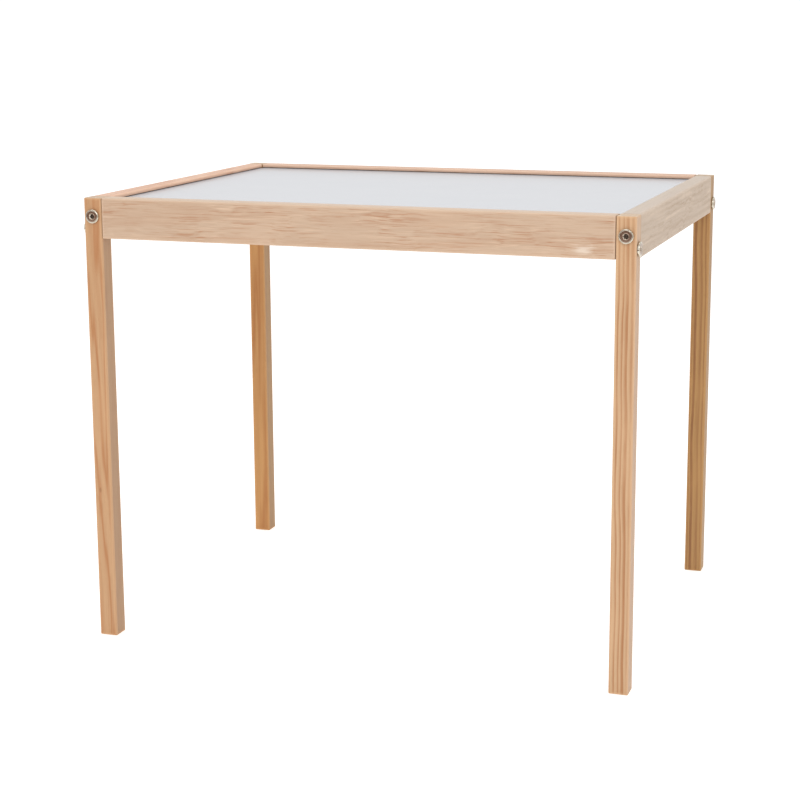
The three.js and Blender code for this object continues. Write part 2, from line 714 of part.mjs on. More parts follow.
const switchLeadZ = BOARD_TOP + SWITCH_LEAD_RISE;
const switchEnd = SWITCH_BODY.length / 2 + LEAD_GAP;
const switchStub = switchEnd + LEAD_STUB;
lead("lead_switch_driver", [
  [SWITCH_PLACE.x - switchEnd, SWITCH_PLACE.y, switchLeadZ],
  [SWITCH_PLACE.x - switchStub, SWITCH_PLACE.y, switchLeadZ],
  [HOP_X, SWITCH_PLACE.y + HOP_TURN, switchLeadZ],
  [HOP_X, driverFront - LEAD_STUB, switchLeadZ],
  [HOP_X, driverFront, switchLeadZ],
]);

// Down from the inlet on to the board and into its lane, with Y counted back from the inlet.
const laneX = OPEN_X - LANE_INSET;
const descent = [
  { x: INLET_X + 22, back: 24, up: 6 },
  { x: laneX - 12, back: 36, up: 1 },
  { x: laneX, back: 62, up: 0 },
  { x: laneX, back: 90, up: 0 },
];
// Out of the lane and round to the switch, with Y counted from the switch.
const approach = [
  { x: laneX, behind: 68, up: 0 },
  { x: laneX, behind: 40, up: 0 },
  { x: laneX - 10, behind: 10, up: 2 },
];
const inletBack = WIDTH / 2 - INLET.depth - LEAD_GAP;
lead("lead_inlet_switch", [
  [INLET_X, inletBack, INLET_Z],
  [INLET_X, inletBack - LEAD_STUB, INLET_Z],
  ...descent.map(({ x, back, up }) => [x, inletBack - back, LEAD_Z + up]),
  ...approach.map(({ x, behind, up }) => [x, SWITCH_PLACE.y + behind, LEAD_Z + up]),
  [SWITCH_PLACE.x + switchEnd + 2 * LEAD_STUB, SWITCH_PLACE.y, switchLeadZ],
  [SWITCH_PLACE.x + switchEnd, SWITCH_PLACE.y, switchLeadZ],
]);

export default table;
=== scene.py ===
# Looks of the light box table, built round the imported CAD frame.
# Metres, +Z up, front towards -Y. A stick of wood is made with its grain along its own X.

import math

import bmesh
import bpy
from mathutils import Matrix, Vector


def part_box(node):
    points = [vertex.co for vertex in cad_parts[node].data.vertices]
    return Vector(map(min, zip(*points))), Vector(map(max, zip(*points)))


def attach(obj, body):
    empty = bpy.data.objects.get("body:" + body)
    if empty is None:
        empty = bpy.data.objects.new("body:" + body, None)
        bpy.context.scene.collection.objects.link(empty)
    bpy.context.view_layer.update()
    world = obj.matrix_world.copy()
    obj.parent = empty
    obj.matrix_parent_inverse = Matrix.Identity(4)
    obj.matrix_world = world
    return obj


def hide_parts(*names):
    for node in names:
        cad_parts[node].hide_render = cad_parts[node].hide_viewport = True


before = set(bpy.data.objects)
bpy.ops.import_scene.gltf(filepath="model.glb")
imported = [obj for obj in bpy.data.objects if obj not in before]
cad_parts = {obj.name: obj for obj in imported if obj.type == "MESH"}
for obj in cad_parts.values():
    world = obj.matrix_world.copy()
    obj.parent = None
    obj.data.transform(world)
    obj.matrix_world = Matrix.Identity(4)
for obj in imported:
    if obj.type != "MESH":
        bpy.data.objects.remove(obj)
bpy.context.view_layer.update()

MM = 0.001

# ---- Dimensions ----

GAP = 0.3 * MM  # clearance between two pieces that touch
LEG_ARRIS = 1.2 * MM
RAIL_TOP_ROUND = 2.0 * MM
RAIL_FOOT_ROUND = 1.0 * MM
RAIL_END_ARRIS = 0.9 * MM
BOLT_RADIUS = 3.0 * MM
NUT_RADIUS = 5.0 * MM
DOWEL_RADIUS = 3.0 * MM
BORE_PAST_BOLT = 3.0 * MM  # how far a bolt's bore runs past its tip
GROOVE_DEPTH = 7.0 * MM
GROOVE_CLEARANCE = 0.6 * MM  # panel's surface to the top of its groove
REBATE_DEPTH = 8.0 * MM
SCREW_HOLE_RADIUS = 1.8 * MM
INLET_POCKET_RADIUS = 8.5 * MM
INLET_BARREL = 5.3 * MM
INLET_WEB = 3.0 * MM  # rail left round the inlet's hole
CUT_PAST = 1.0 * MM  # how far a cutter runs past the face that it opens

BAR_FACE = -1.75  # mm, a light bar's upper face from its middle
BAR_PLUG = 240.0  # mm, a light bar's middle to its connectors
LENS_PITCH = 76.0  # mm, from lens to lens

CORNERS = ("front_left", "front_right", "rear_left", "rear_right")
BASE_SCREWS = [f"base_screw_{i}" for i in range(1, 9)]
LIGHT_BARS = [f"led_bar_{i}" for i in range(1, 5)]

# ---- Shader helpers ----


def srgb(red, green, blue):
    """A linear colour from 0-255 display values."""

    def linear(value):
        share = value / 255
        return share / 12.92 if share <= 0.04045 else ((share + 0.055) / 1.055) ** 2.4

    return (linear(red), linear(green), linear(blue), 1.0)


class Nodes:
    """A node tree that is written as nested calls."""

    def __init__(self, owner):
        owner.use_nodes = True
        self.tree = owner.node_tree

    def put(self, socket, value):
        if isinstance(value, bpy.types.NodeSocket):
            self.tree.links.new(value, socket)
        else:
            socket.default_value = value

    def node(self, kind, sockets, **settings):
        made = self.tree.nodes.new(kind)
        for key, value in settings.items():
            setattr(made, key, value)
        for key, value in sockets.items():
            self.put(made.inputs[key], value)
        return made

    def math(self, operation, first, second=0.0, clamp=False):
        sockets = {0: first, 1: second}
        made = self.node("ShaderNodeMath", sockets, operation=operation, use_clamp=clamp)
        return made.outputs[0]

    def times(self, first, second):
        return self.math("MULTIPLY", first, second)

    def vector(self, operation, first, second):
        made = self.node("ShaderNodeVectorMath", {0: first, 1: second}, operation=operation)
        return made.outputs[0]

    def split(self, vector):
        return self.node("ShaderNodeSeparateXYZ", {0: vector}).outputs

    def ramp(self, value, low, high, to_low=0.0, to_high=1.0):
        sockets = {0: value, 1: low, 2: high, 3: to_low, 4: to_high}
        made = self.node("ShaderNodeMapRange", sockets, interpolation_type="SMOOTHSTEP")
        return made.outputs[0]

    def mix(self, share, first, second):
        made = self.node("ShaderNodeMix", {0: share}, data_type="RGBA")
        self.put(made.inputs[6], first)
        self.put(made.inputs[7], second)
        return made.outputs[2]


class Shader(Nodes):
    """A Principled material."""

    def __init__(self, name, **surface):
        self.material = bpy.data.materials.new(name)
        super().__init__(self.material)
        self.surface = self.tree.nodes["Principled BSDF"]
        for socket, value in surface.items():
            self.put(self.surface.inputs[socket.replace("_", " ")], value)

    def millimetres(self):
        """The piece's own coordinates in millimetres."""
        coordinates = self.node("ShaderNodeTexCoord", {}).outputs["Object"]
        return self.vector("MULTIPLY", coordinates, (1000, 1000, 1000))

    def noise(self, vector, stretch, detail=2.0, roughness=0.5):
        """Noise from 0 to 1. stretch is how often it changes per millimetre along each axis."""
        at = self.vector("MULTIPLY", vector, stretch)
        sockets = {"Vector": at, "Scale": 1.0, "Detail": detail, "Roughness": roughness}
        return self.node("ShaderNodeTexNoise", sockets).outputs["Fac"]

    def noise_along(self, value, scale, detail):
        """Noise from 0 to 1 along one value."""
        sockets = {"W": value, "Scale": scale, "Detail": detail}
        return self.node("ShaderNodeTexNoise", sockets, noise_dimensions="1D").outputs["Fac"]

    def finished(self, colour, roughness, height, strength, depth):
        """The material, with its colour, its roughness and a bump from a height."""
        bump = {"Height": height, "Strength": strength, "Distance": depth}
        self.put(self.surface.inputs["Base Color"], colour)
        self.put(self.surface.inputs["Roughness"], roughness)
        self.put(self.surface.inputs["Normal"], self.node("ShaderNodeBump", bump).outputs[0])
        return self.material


def away_from(shader, values, centre, reach=(1.0, 1.0)):
    """Distance from a centre, by a reach along each axis."""
    squares = []
    for value, middle_value, size in zip(values, centre, reach):
        share = shader.math("DIVIDE", shader.math("SUBTRACT", value, middle_value), size)
        squares.append(shader.times(share, share))
    return shader.math("SQRT", shader.math("ADD", *squares))


# ---- Wood ----

BARE_END = srgb(206, 190, 168)
# painted shade of the seam where a rail's end meets its leg, painted on the rails' ends
SEAM_SHADE = srgb(128, 92, 66)
CHALK = srgb(236, 226, 212)

STICK = dict(
    pith=(-90, 0),  # centre of the rings, beside the stick's own axis
    pitch=5.0,  # width of a ring
    late=0.6,  # how dark the latewood is
    sway=4.0,  # how far the rings wander
    taper=0.0,  # how fast the rings lean along the stick
    ripple=(0.02, 3.0),  # bend of the fine grain: times per mm, and how far
    fleck=(0.05, 0.8, 0.3),  # flecks: times per mm along and across, and strength
    streak=(0.004, 0.08, 0.0),  # long resin streaks: the same
    stain=None,  # colour of flecks and streaks, if it isn't the latewood's
    side=None,  # (axis, share, colour) of the one face, on the plus side, painted lighter or darker for the light that falls on it: painted light and shade
    end=BARE_END,  # colour that both ends turn to; the rails' ends turn dark instead, the painted shade of their seams at the legs
    knot=None,  # (along, across) of a small knot
    chalk=None,  # (along, up) of a rubbed, chalky patch
)

# Millimetres, unless they say otherwise.
SEED_STEPS = (371.0, 43.0, 67.0)  # from one stick's part of the noise to the next one's
EDGE_HIGHLIGHT_REACH = 2.4  # width of the paler edges, a painted highlight along the arrises
EDGE_UNEVEN = 1.6  # how far that width varies
EDGE_HIGHLIGHT_SHARE = 0.55  # how much paler they are, from 0 to 1
PAINTED_FACE_REACH = (1.8, 0.6)  # from a face: where its painted light or shade starts, and where it is full
END_REACH = (0.9, 0.2)  # the same for an end
END_SHARE = 0.55
KNOT_SIZE = (3.4, 1.5)
KNOT_SWEEP = (16.0, 7.0)  # how far the rings bend round a knot
CHALK_SIZE = (17.0, 7.0)
EARLYWOOD_END, LATEWOOD_FULL, LATEWOOD_END = 0.12, 0.72, 0.78  # shares of a ring
GRAIN_DEPTH = 0.1 * MM


def growth_rings(shader, at, shifted, look):
    """How much of a point is latewood, and how dark that is."""
    along, across, up = shader.split(at)
    radius = away_from(shader, (across, up), look["pith"])
    wander = shader.times(shader.noise(shifted, (0.006, 0.015, 0.015)), look["sway"])
    lean = shader.times(along, look["taper"])
    bent = shader.math("ADD", shader.math("ADD", radius, lean), wander)
    if look["knot"]:
        near_knot = away_from(shader, (along, across), look["knot"], KNOT_SWEEP)
        bent = shader.math("ADD", bent, shader.ramp(near_knot, 0.0, 1.0, look["pitch"], 0.0))
    rings = shader.math("DIVIDE", bent, look["pitch"])
    year = shader.noise_along(rings, 0.6, 1.0)
    phase = shader.math("FRACT", shader.math("ADD", rings, shader.times(year, 1.2)))
    rise = shader.ramp(phase, EARLYWOOD_END, LATEWOOD_FULL)
    fall = shader.ramp(phase, LATEWOOD_END, 1.0, 1.0, 0.0)
    latewood = shader.times(rise, fall)
    return latewood, shader.ramp(year, 0.3, 0.7, 0.6 * look["late"], look["late"])


def ripple(shader, shifted, look):
    """Places moved sideways by the bend of the fine grain."""
    often, far = look["ripple"]
    bend = shader.math("SUBTRACT", shader.noise(shifted, (often, 0.03, 0.03)), 0.5)
    bend = shader.times(bend, far * 2)
    shift = shader.node("ShaderNodeCombineXYZ", {"Y": bend, "Z": bend}).outputs[0]
    return shader.vector("ADD", shifted, shift)


def grain_flecks(shader, shifted, rippled, look):
    """The noise that flecks come from, and how strong the light and dark ones are. They
    crowd in some places and thin out in others."""
    lengthwise, crosswise, strength = look["fleck"]
    flecks = shader.noise(rippled, (lengthwise, crosswise, crosswise), detail=4.0, roughness=0.55)
    crowd = shader.noise(shifted, (0.012, 0.045, 0.045), detail=1.0)
    crowded = shader.ramp(crowd, 0.38, 0.6, 0.35 * strength, strength)
    light = shader.times(shader.ramp(flecks, 0.5, 0.28), crowded)
    dark = shader.times(shader.ramp(flecks, 0.5, 0.7), crowded)
    return flecks, light, dark


def with_streaks(shader, colour, shifted, look, stain):
    """Long resin streaks, where a slow noise crosses its middle."""
    lengthwise, crosswise, strength = look["streak"]
    if not strength:
        return colour
    drift = shader.noise(shifted, (lengthwise, crosswise, crosswise), detail=1.5)
    level = shader.math("ABSOLUTE", shader.math("SUBTRACT", drift, 0.5))
    return shader.mix(shader.ramp(level, 0.09, 0.0, 0.0, strength), colour, stain)


def with_marks(shader, colour, at, half, flecks, look, deeper):
    """What only one stick has: a face painted lighter or darker for how light falls on it
    (painted light and shade), a small knot or a chalky patch.
    """
    along, across, up = shader.split(at)
    if look["side"]:
        # painted light and shade: the face on the plus side of the axis is tinted for how the
        # light falls on it
        axis, share, tone = look["side"]
        start, full = (half[axis] - reach for reach in PAINTED_FACE_REACH)
        painted_face_share = shader.ramp((along, across, up)[axis], start, full, 0.0, share)
        colour = shader.mix(painted_face_share, colour, tone)
    if look["knot"]:
        ring = away_from(shader, (along, across), look["knot"], KNOT_SIZE)
        colour = shader.mix(shader.ramp(ring, 0.35, 1.2, 0.7, 0.0), colour, deeper)
    if look["chalk"]:
        patch = away_from(shader, (along, up), look["chalk"], CHALK_SIZE)
        patch = shader.math("ADD", patch, shader.times(flecks, 2.0))
        colour = shader.mix(shader.ramp(patch, 1.0, 1.8, 0.4, 0.0), colour, CHALK)
    return colour


def near_edge(shader, at, half, reach):
    """1 on a box-shaped piece's edges, falling unevenly to 0 within reach millimetres."""
    inset = [
        shader.math("SUBTRACT", shader.math("ABSOLUTE", axis), size)
        for axis, size in zip(shader.split(at), half)
    ]
    pairs = [shader.math("ADD", inset[i], inset[j]) for i, j in ((0, 1), (1, 2), (0, 2))]
    nearest = shader.math("MAXIMUM", shader.math("MAXIMUM", pairs[0], pairs[1]), pairs[2])
    uneven = shader.times(shader.noise(at, (0.05, 0.3, 0.3)), EDGE_UNEVEN)
    return shader.ramp(shader.math("ADD", nearest, uneven), -reach, 0.0)


def with_edge_highlight_and_ends(shader, colour, at, half, look, brighter):
    """Edges painted paler, a painted highlight along the arrises, and ends in their own colour.
    """
    # painted highlight: the arrises are painted paler
    edge = shader.times(near_edge(shader, at, half, EDGE_HIGHLIGHT_REACH), EDGE_HIGHLIGHT_SHARE)
    colour = shader.mix(edge, colour, brighter)
    end = shader.math("SUBTRACT", shader.math("ABSOLUTE", shader.split(at)[0]), half[0])
    start, full = (-reach for reach in END_REACH)
    # ends turn to the look's end colour; on the rails that is painted shade of the seam at the
    # leg
    return shader.mix(shader.ramp(end, start, full, 0.0, END_SHARE), colour, look["end"])


def scaled(colour, factor):
    """A colour that is brighter or darker by a factor."""
    return tuple(min(1.0, channel * factor) for channel in colour[:3]) + (1.0,)


def wood(name, half, pale, dark, seed, **own):
    """Softwood with its grain along X, in millimetres. half is the piece's half size."""
    look = {**STICK, **own}
    shader = Shader(name)
    at = shader.millimetres()
    shifted = shader.vector("ADD", at, tuple(seed * step for step in SEED_STEPS))
    brighter, deeper = scaled(pale, 1.2), scaled(dark, 0.7)
    stain = look["stain"] or dark

    latewood, darkness = growth_rings(shader, at, shifted, look)
    colour = shader.mix(shader.times(latewood, darkness), pale, dark)
    rippled = ripple(shader, shifted, look)
    flecks, light_fleck, dark_fleck = grain_flecks(shader, shifted, rippled, look)
    colour = shader.mix(light_fleck, colour, brighter)
    colour = shader.mix(dark_fleck, colour, stain)
    colour = with_streaks(shader, colour, shifted, look, stain)

    fibre = shader.noise(rippled, (0.03, 2.4, 2.4), detail=4.0, roughness=0.6)
    colour = shader.mix(shader.ramp(fibre, 0.48, 0.75, 0.0, 0.18), colour, deeper)
    blotch = shader.noise(shifted, (0.009, 0.04, 0.04), detail=3.0)
    colour = shader.mix(shader.ramp(blotch, 0.45, 0.72, 0.0, 0.35), colour, brighter)
    # with_marks paints one face lighter or darker: painted light and shade
    colour = with_marks(shader, colour, at, half, flecks, look, deeper)
    # the paler edges here are a painted highlight, and the rails' dark ends are painted seam
    # shade
    colour = with_edge_highlight_and_ends(shader, colour, at, half, look, brighter)

    shine = shader.ramp(fibre, 0.3, 0.7, 0.48, 0.66)
    relief = shader.math("ADD", fibre, shader.times(latewood, 0.4))
    relief = shader.math("SUBTRACT", relief, shader.times(dark_fleck, 0.5))
    return shader.finished(colour, shine, relief, 0.45, GRAIN_DEPTH)


# ---- Sheets, metals and plastics ----

FINE_DEPTH = 0.02 * MM  # bump of a polished or turned surface
GRAIN_OF_MOULD = 0.04 * MM


def opal_sheet():
    """Opal acrylic with a silky face and a faint cloudiness."""
    shader = Shader("opal_sheet")
    at = shader.millimetres()
    cloud = shader.noise(at, (0.004, 0.004, 0.02), detail=3.0)
    speck = shader.noise(at, (0.9, 0.9, 0.9), detail=2.0)
    tone = shader.math("ADD", cloud, shader.times(speck, 0.5))
    colour = shader.mix(shader.ramp(tone, 0.5, 1.0), srgb(183, 185, 190), srgb(187, 188, 192))
    shine = shader.ramp(cloud, 0.3, 0.7, 0.25, 0.27)
    return shader.finished(colour, shine, speck, 0.05, FINE_DEPTH)


def hardboard():
    """White-painted hardboard: a faint pressed-fibre mesh that shows through, and scuffs."""
    shader = Shader("white_hardboard")
    at = shader.millimetres()
    fibre = shader.noise(at, (0.8, 0.35, 0.8), detail=5.0, roughness=0.65)
    scuff = shader.noise(at, (0.02, 0.02, 0.02), detail=5.0)
    colour = shader.mix(shader.ramp(scuff, 0.4, 0.8), srgb(222, 220, 214), srgb(214, 211, 204))
    colour = shader.mix(shader.ramp(fibre, 0.55, 0.8), colour, srgb(200, 195, 184))
    shine = shader.ramp(scuff, 0.3, 0.7, 0.5, 0.7)
    return shader.finished(colour, shine, fibre, 0.4, GRAIN_DEPTH)


def ring_scratches(shader, at, scale):
    """Distance from a turned piece's own Z, and the fine rings that turning leaves."""
    x, y, _ = shader.split(at)
    radius = away_from(shader, (x, y), (0.0, 0.0))
    return radius, shader.noise_along(radius, scale, 3.0)


def plated(name, colour, worn, roughness, recess):
    """Plated steel turned about its own Z. Inside the recess's radius, in millimetres, it is
    painted dark: painted shade in the recess."""
    shader = Shader(name, Metallic=1.0)
    at = shader.millimetres()
    radius, lines = ring_scratches(shader, at, 9.0)
    stain = shader.noise(at, (0.35, 0.35, 0.35), detail=4.0)
    tone = shader.mix(shader.ramp(stain, 0.4, 0.7), colour, worn)
    # painted shade: dark inside the recess's radius
    inside = shader.ramp(radius, recess - 0.25, recess, 1.0, 0.0)
    tone = shader.mix(inside, tone, srgb(58, 50, 44))
    shine = shader.ramp(lines, 0.3, 0.7, roughness, roughness + 0.12)
    return shader.finished(tone, shine, lines, 0.15, FINE_DEPTH)


def bolt_nickel():
    """Nickel, painted darker and warmer on the sunk face between the bevel and the key socket,
    a painted reflection of the dark room, and painted dark in the socket as painted shade.
    Radii and heights are in millimetres, from the bolt's axis and from under its head."""
    shader = Shader("bolt_nickel", Metallic=1.0)
    at = shader.millimetres()
    height = shader.split(at)[2]
    radius, lines = ring_scratches(shader, at, 7.0)
    stain = shader.noise(at, (0.3, 0.3, 0.3), detail=4.0)
    tone = shader.mix(shader.ramp(stain, 0.4, 0.75), srgb(214, 206, 190), srgb(190, 180, 162))

    # painted reflection: the sunk face round the key is painted darker and warmer, standing in
    # for the dark room it reflects
    on_face = shader.ramp(height, 2.2, 2.5)
    round_key = shader.ramp(radius, 2.4, 3.4, 0.35, 1.0)
    inside_bevel = shader.ramp(radius, 5.5, 6.0, 1.0, 0.0)
    ring = shader.times(round_key, inside_bevel)
    tone = shader.mix(shader.times(ring, on_face), tone, srgb(168, 142, 124))

    # painted shade: the socket's mouth and its inside are painted dark
    painted_mouth_shade = shader.times(shader.ramp(radius, 2.3, 2.5, 1.0, 0.0), on_face)
    below_face = shader.ramp(height, 1.7, 2.2, 1.0, 0.0)
    socket = shader.times(shader.ramp(radius, 2.35, 2.6, 1.0, 0.0), below_face)
    tone = shader.mix(shader.math("MAXIMUM", painted_mouth_shade, socket), tone, srgb(76, 64, 56))
    shine = shader.ramp(lines, 0.3, 0.7, 0.12, 0.26)
    return shader.finished(tone, shine, lines, 0.12, FINE_DEPTH)


def plastic(name, colour, worn, roughness, grain=0.6):
    """Moulded plastic: a fine spark-eroded grain, and rubbed patches."""
    shader = Shader(name)
    at = shader.millimetres()
    skin = shader.noise(at, (2.2, 2.2, 2.2), detail=3.0)
    rub = shader.noise(at, (0.12, 0.12, 0.12), detail=4.0)
    tone = shader.mix(shader.ramp(rub, 0.5, 0.8), colour, worn)
    shine = shader.ramp(rub, 0.35, 0.75, roughness, roughness + 0.15)
    return shader.finished(tone, shine, skin, grain, GRAIN_OF_MOULD)


def light_bar():
    """A circuit bar about its own middle: white mask over copper tracks, clear lenses above it,
    and a cream connector at each end."""
    shader = Shader("light_bar")
    at = shader.millimetres()
    along, across, up = shader.split(at)
    aside = shader.math("ABSOLUTE", across)
    grain = shader.noise(at, (1.5, 1.5, 1.5), detail=3.0)
    mask = shader.mix(shader.ramp(grain, 0.3, 0.7), srgb(238, 239, 236), srgb(228, 229, 225))
    track_start = shader.ramp(aside, 3.3, 3.5)
    track_end = shader.ramp(aside, 4.5, 4.7, 0.6, 0.0)
    track = shader.times(track_start, track_end)
    mask = shader.mix(track, mask, srgb(206, 208, 200))

    raised = shader.ramp(up, BAR_FACE + 0.1, BAR_FACE + 0.3)
    from_lens = shader.math("PINGPONG", along, LENS_PITCH / 2)
    from_lens = away_from(shader, (from_lens, across), (0.0, 0.0))
    lens = shader.mix(shader.ramp(from_lens, 1.4, 2.4), srgb(236, 214, 130), srgb(240, 243, 244))
    colour = shader.mix(raised, mask, lens)
    at_end = shader.ramp(shader.math("ABSOLUTE", along), BAR_PLUG - 0.2, BAR_PLUG)
    colour = shader.mix(shader.times(at_end, raised), colour, srgb(233, 224, 200))
    gloss = shader.math("SUBTRACT", raised, at_end, clamp=True)
    shine = shader.ramp(gloss, 0.0, 1.0, 0.45, 0.12)
    return shader.finished(colour, shine, grain, 0.2, FINE_DEPTH)


# ---- Mesh helpers ----

BORE_SIDES = 24
ARRIS_ANGLE = 40  # degrees: sharper edges are eased
SMOOTH_ANGLE = 35  # degrees: flatter edges are shaded smooth


def new_object(name, bm):
    bmesh.ops.recalc_face_normals(bm, faces=bm.faces)
    mesh = bpy.data.meshes.new(name)
    bm.to_mesh(mesh)
    bm.free()
    obj = bpy.data.objects.new(name, mesh)
    bpy.context.scene.collection.objects.link(obj)
    return obj


def loft(name, rings):
    """A closed body through rings that have the same number of points, capped at both ends."""
    bm = bmesh.new()
    loops = [[bm.verts.new(point) for point in ring] for ring in rings]
    count = len(loops[0])
    for below, above in zip(loops, loops[1:]):
        for i in range(count):
            j = (i + 1) % count
            bm.faces.new((below[i], below[j], above[j], above[i]))
    bm.faces.new(loops[0])
    bm.faces.new(loops[-1])
    return new_object(name, bm)


def hexagon(flats):
    """The outline of a hexagon as a radius for each angle. A corner is at angle 0."""

    def radius(angle):
        off_flat = (angle % (math.pi / 3)) - math.pi / 6
        return flats / 2 / math.cos(off_flat)

    return radius


def turned(name, stations, sides):
    """A body about Z through (height, radius) stations, first to last. A radius is a length,
    or a function of the angle."""
    rings = []
    for height, radius in stations:
        ring = []
        for i in range(sides):
            angle = 2 * math.pi * i / sides
            reach = radius(angle) if callable(radius) else radius
            ring.append((reach * math.cos(angle), reach * math.sin(angle), height))
        rings.append(ring)
    return loft(name, rings)


def arc(centre, radius, start, end, steps):
    """Points on an arc from start to end degrees, both ends included."""
    angles = [math.radians(start + (end - start) * i / steps) for i in range(steps + 1)]
    return [(centre[0] + radius * math.cos(a), centre[1] + radius * math.sin(a)) for a in angles]


def cuboid(name, low, high):
    corners = [(low[0], low[1]), (high[0], low[1]), (high[0], high[1]), (low[0], high[1])]
    return loft(name, [[(x, y, z) for x, y in corners] for z in (low[2], high[2])])


def facing(axis):
    """The matrix that turns +Z to an axis."""
    return Vector((0, 0, 1)).rotation_difference(Vector(axis)).to_matrix().to_4x4()


def rod(axis, start, end, radius):
    """A round cutter between two points on a line along an axis."""
    length = (end - start).length
    cutter = turned("cutter", [(0, radius), (length, radius)], BORE_SIDES)
    cutter.matrix_world = Matrix.Translation(start) @ facing(axis)
    return cutter


def apply_modifiers(obj):
    bpy.context.view_layer.update()
    evaluated = obj.evaluated_get(bpy.context.evaluated_depsgraph_get())
    mesh = bpy.data.meshes.new_from_object(evaluated)
    obj.modifiers.clear()
    obj.data = mesh


def ease(obj, width, segments, angle=ARRIS_ANGLE):
    """Rounds every edge that is sharper than an angle."""
    bevel = obj.modifiers.new("arris", "BEVEL")
    bevel.width = width
    bevel.segments = segments
    bevel.limit_method = "ANGLE"
    bevel.angle_limit = math.radians(angle)
    apply_modifiers(obj)
    return obj


def combine(obj, others, operation):
    """Cuts or joins an object with others, and removes the others."""
    for other in others:
        modifier = obj.modifiers.new("combine", "BOOLEAN")
        modifier.operation = operation
        modifier.solver = "EXACT"
        modifier.object = other
    apply_modifiers(obj)
    for other in others:
        bpy.data.objects.remove(other)


def carve(obj, cutters):
    combine(obj, cutters, "DIFFERENCE")


def dress(obj, material, node, body="frame", smooth=SMOOTH_ANGLE):
    """Finishes a piece that stands for a CAD node, and lets it ride on the node's body."""
    obj.name = f"{node}_shaped"
    obj.data.materials.clear()
    obj.data.materials.append(material)
    for face in obj.data.polygons:
        face.use_smooth = True
    obj.data.set_sharp_from_angle(angle=math.radians(smooth))
    normals = obj.modifiers.new("weighted", "WEIGHTED_NORMAL")
    normals.keep_sharp = True
    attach(obj, body)
    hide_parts(node)


def middle(node):
    low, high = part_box(node)
    return (low + high) / 2


def extent(node):
    low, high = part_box(node)
    return high - low


def length_along(node, axis):
    return abs(extent(node).dot(axis))


# ---- Legs ----


def joints(corners=CORNERS):
    """Each joint's name, the axis out of the leg that its bolt runs along, and the axis of
    its barrel nut."""
    for corner in corners:
        sx = -1 if "left" in corner else 1
        sy = -1 if "front" in corner else 1
        yield f"face_{corner}", Vector((0, sy, 0)), Vector((-sx, 0, 0))
        yield f"side_{corner}", Vector((sx, 0, 0)), Vector((0, -sy, 0))


def bolt_tip(joint, axis):
    bolt = f"bolt_{joint}"
    return middle(bolt) - axis * length_along(bolt, axis) / 2


def joint_bores(corner):
    """Cutters for a corner's bolts and dowels, the same for the leg and for its two rails."""
    bores = []
    for joint, axis, _ in joints([corner]):
        tip = bolt_tip(joint, axis)
        end = tip + axis * (length_along(f"bolt_{joint}", axis) + CUT_PAST)
        bores.append(rod(axis, tip - axis * BORE_PAST_BOLT, end, BOLT_RADIUS + GAP))
        dowel = f"dowel_{joint}"
        half = axis * (length_along(dowel, axis) / 2 + GAP)
        bores.append(rod(axis, middle(dowel) - half, middle(dowel) + half, DOWEL_RADIUS + GAP))
    return bores


def make_leg(corner, look):
    node = f"leg_{corner}"
    size = extent(node)
    half = Vector((size.z, size.x, size.y)) / 2
    leg = ease(cuboid("leg", -half, half), LEG_ARRIS, 5)
    upright = Matrix(((0, 1, 0, 0), (0, 0, 1, 0), (1, 0, 0, 0), (0, 0, 0, 1)))
    leg.matrix_world = Matrix.Translation(middle(node)) @ upright
    carve(leg, joint_bores(corner))
    dress(leg, wood(f"pine_{corner}", half / MM, **look), node)


# ---- Rails ----

NUT_BORE_RUN = 20.0 * MM  # from a barrel nut to past the rail's inner face
TOP_ROUND_STEPS = 6
FOOT_ROUND_STEPS = 4


def rail_section(thickness, height, panel, board_top):
    """A rail's outline about the middle of its section: Y runs inwards and Z up. panel is the
    foot and top of the panel's groove."""
    inner, outer = thickness / 2, -thickness / 2
    top, foot = height / 2, -height / 2
    groove_foot, groove_top = panel
    points = [(outer + RAIL_FOOT_ROUND, foot), (inner - REBATE_DEPTH, foot)]
    points += [(inner - REBATE_DEPTH, board_top), (inner, board_top)]
    points += [(inner, groove_foot), (inner - GROOVE_DEPTH, groove_foot)]
    points += [(inner - GROOVE_DEPTH, groove_top), (inner, groove_top)]
    crown = top - RAIL_TOP_ROUND
    points += arc((inner - RAIL_TOP_ROUND, crown), RAIL_TOP_ROUND, 0, 90, TOP_ROUND_STEPS)
    points += arc((outer + RAIL_TOP_ROUND, crown), RAIL_TOP_ROUND, 90, 180, TOP_ROUND_STEPS)
    toe = (outer + RAIL_FOOT_ROUND, foot + RAIL_FOOT_ROUND)
    points += arc(toe, RAIL_FOOT_ROUND, 180, 270, FOOT_ROUND_STEPS)[:-1]
    return points


def nut_bores(corner, low, high):
    """Cutters for a corner's barrel nuts that lie in the rail between low and high."""
    bores = []
    for joint, _, _ in joints([corner]):
        nut = f"barrel_nut_{joint}"
        centre = middle(nut)
        if all(low[i] < centre[i] < high[i] for i in range(3)):
            inward = Vector((0, 0, 0))
            across = 0 if extent(nut).x > extent(nut).y else 1
            inward[across] = -1 if centre[across] > 0 else 1
            end = centre - inward * (extent(nut)[across] / 2 + GAP)
            bores.append(rod(-inward, centre + inward * NUT_BORE_RUN, end, NUT_RADIUS + GAP))
    return bores


def screw_bores(low, high):
    """Cutters for the base screws that run into the rail between low and high."""
    bores = []
    for screw in BASE_SCREWS:
        x, y, _ = middle(screw)
        if low.x < x < high.x and low.y < y < high.y:
            ends = (low.z - CUT_PAST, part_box(screw)[1].z + CUT_PAST)
            start, end = (Vector((x, y, z)) for z in ends)
            bores.append(rod((0, 0, 1), start, end, SCREW_HOLE_RADIUS))
    return bores


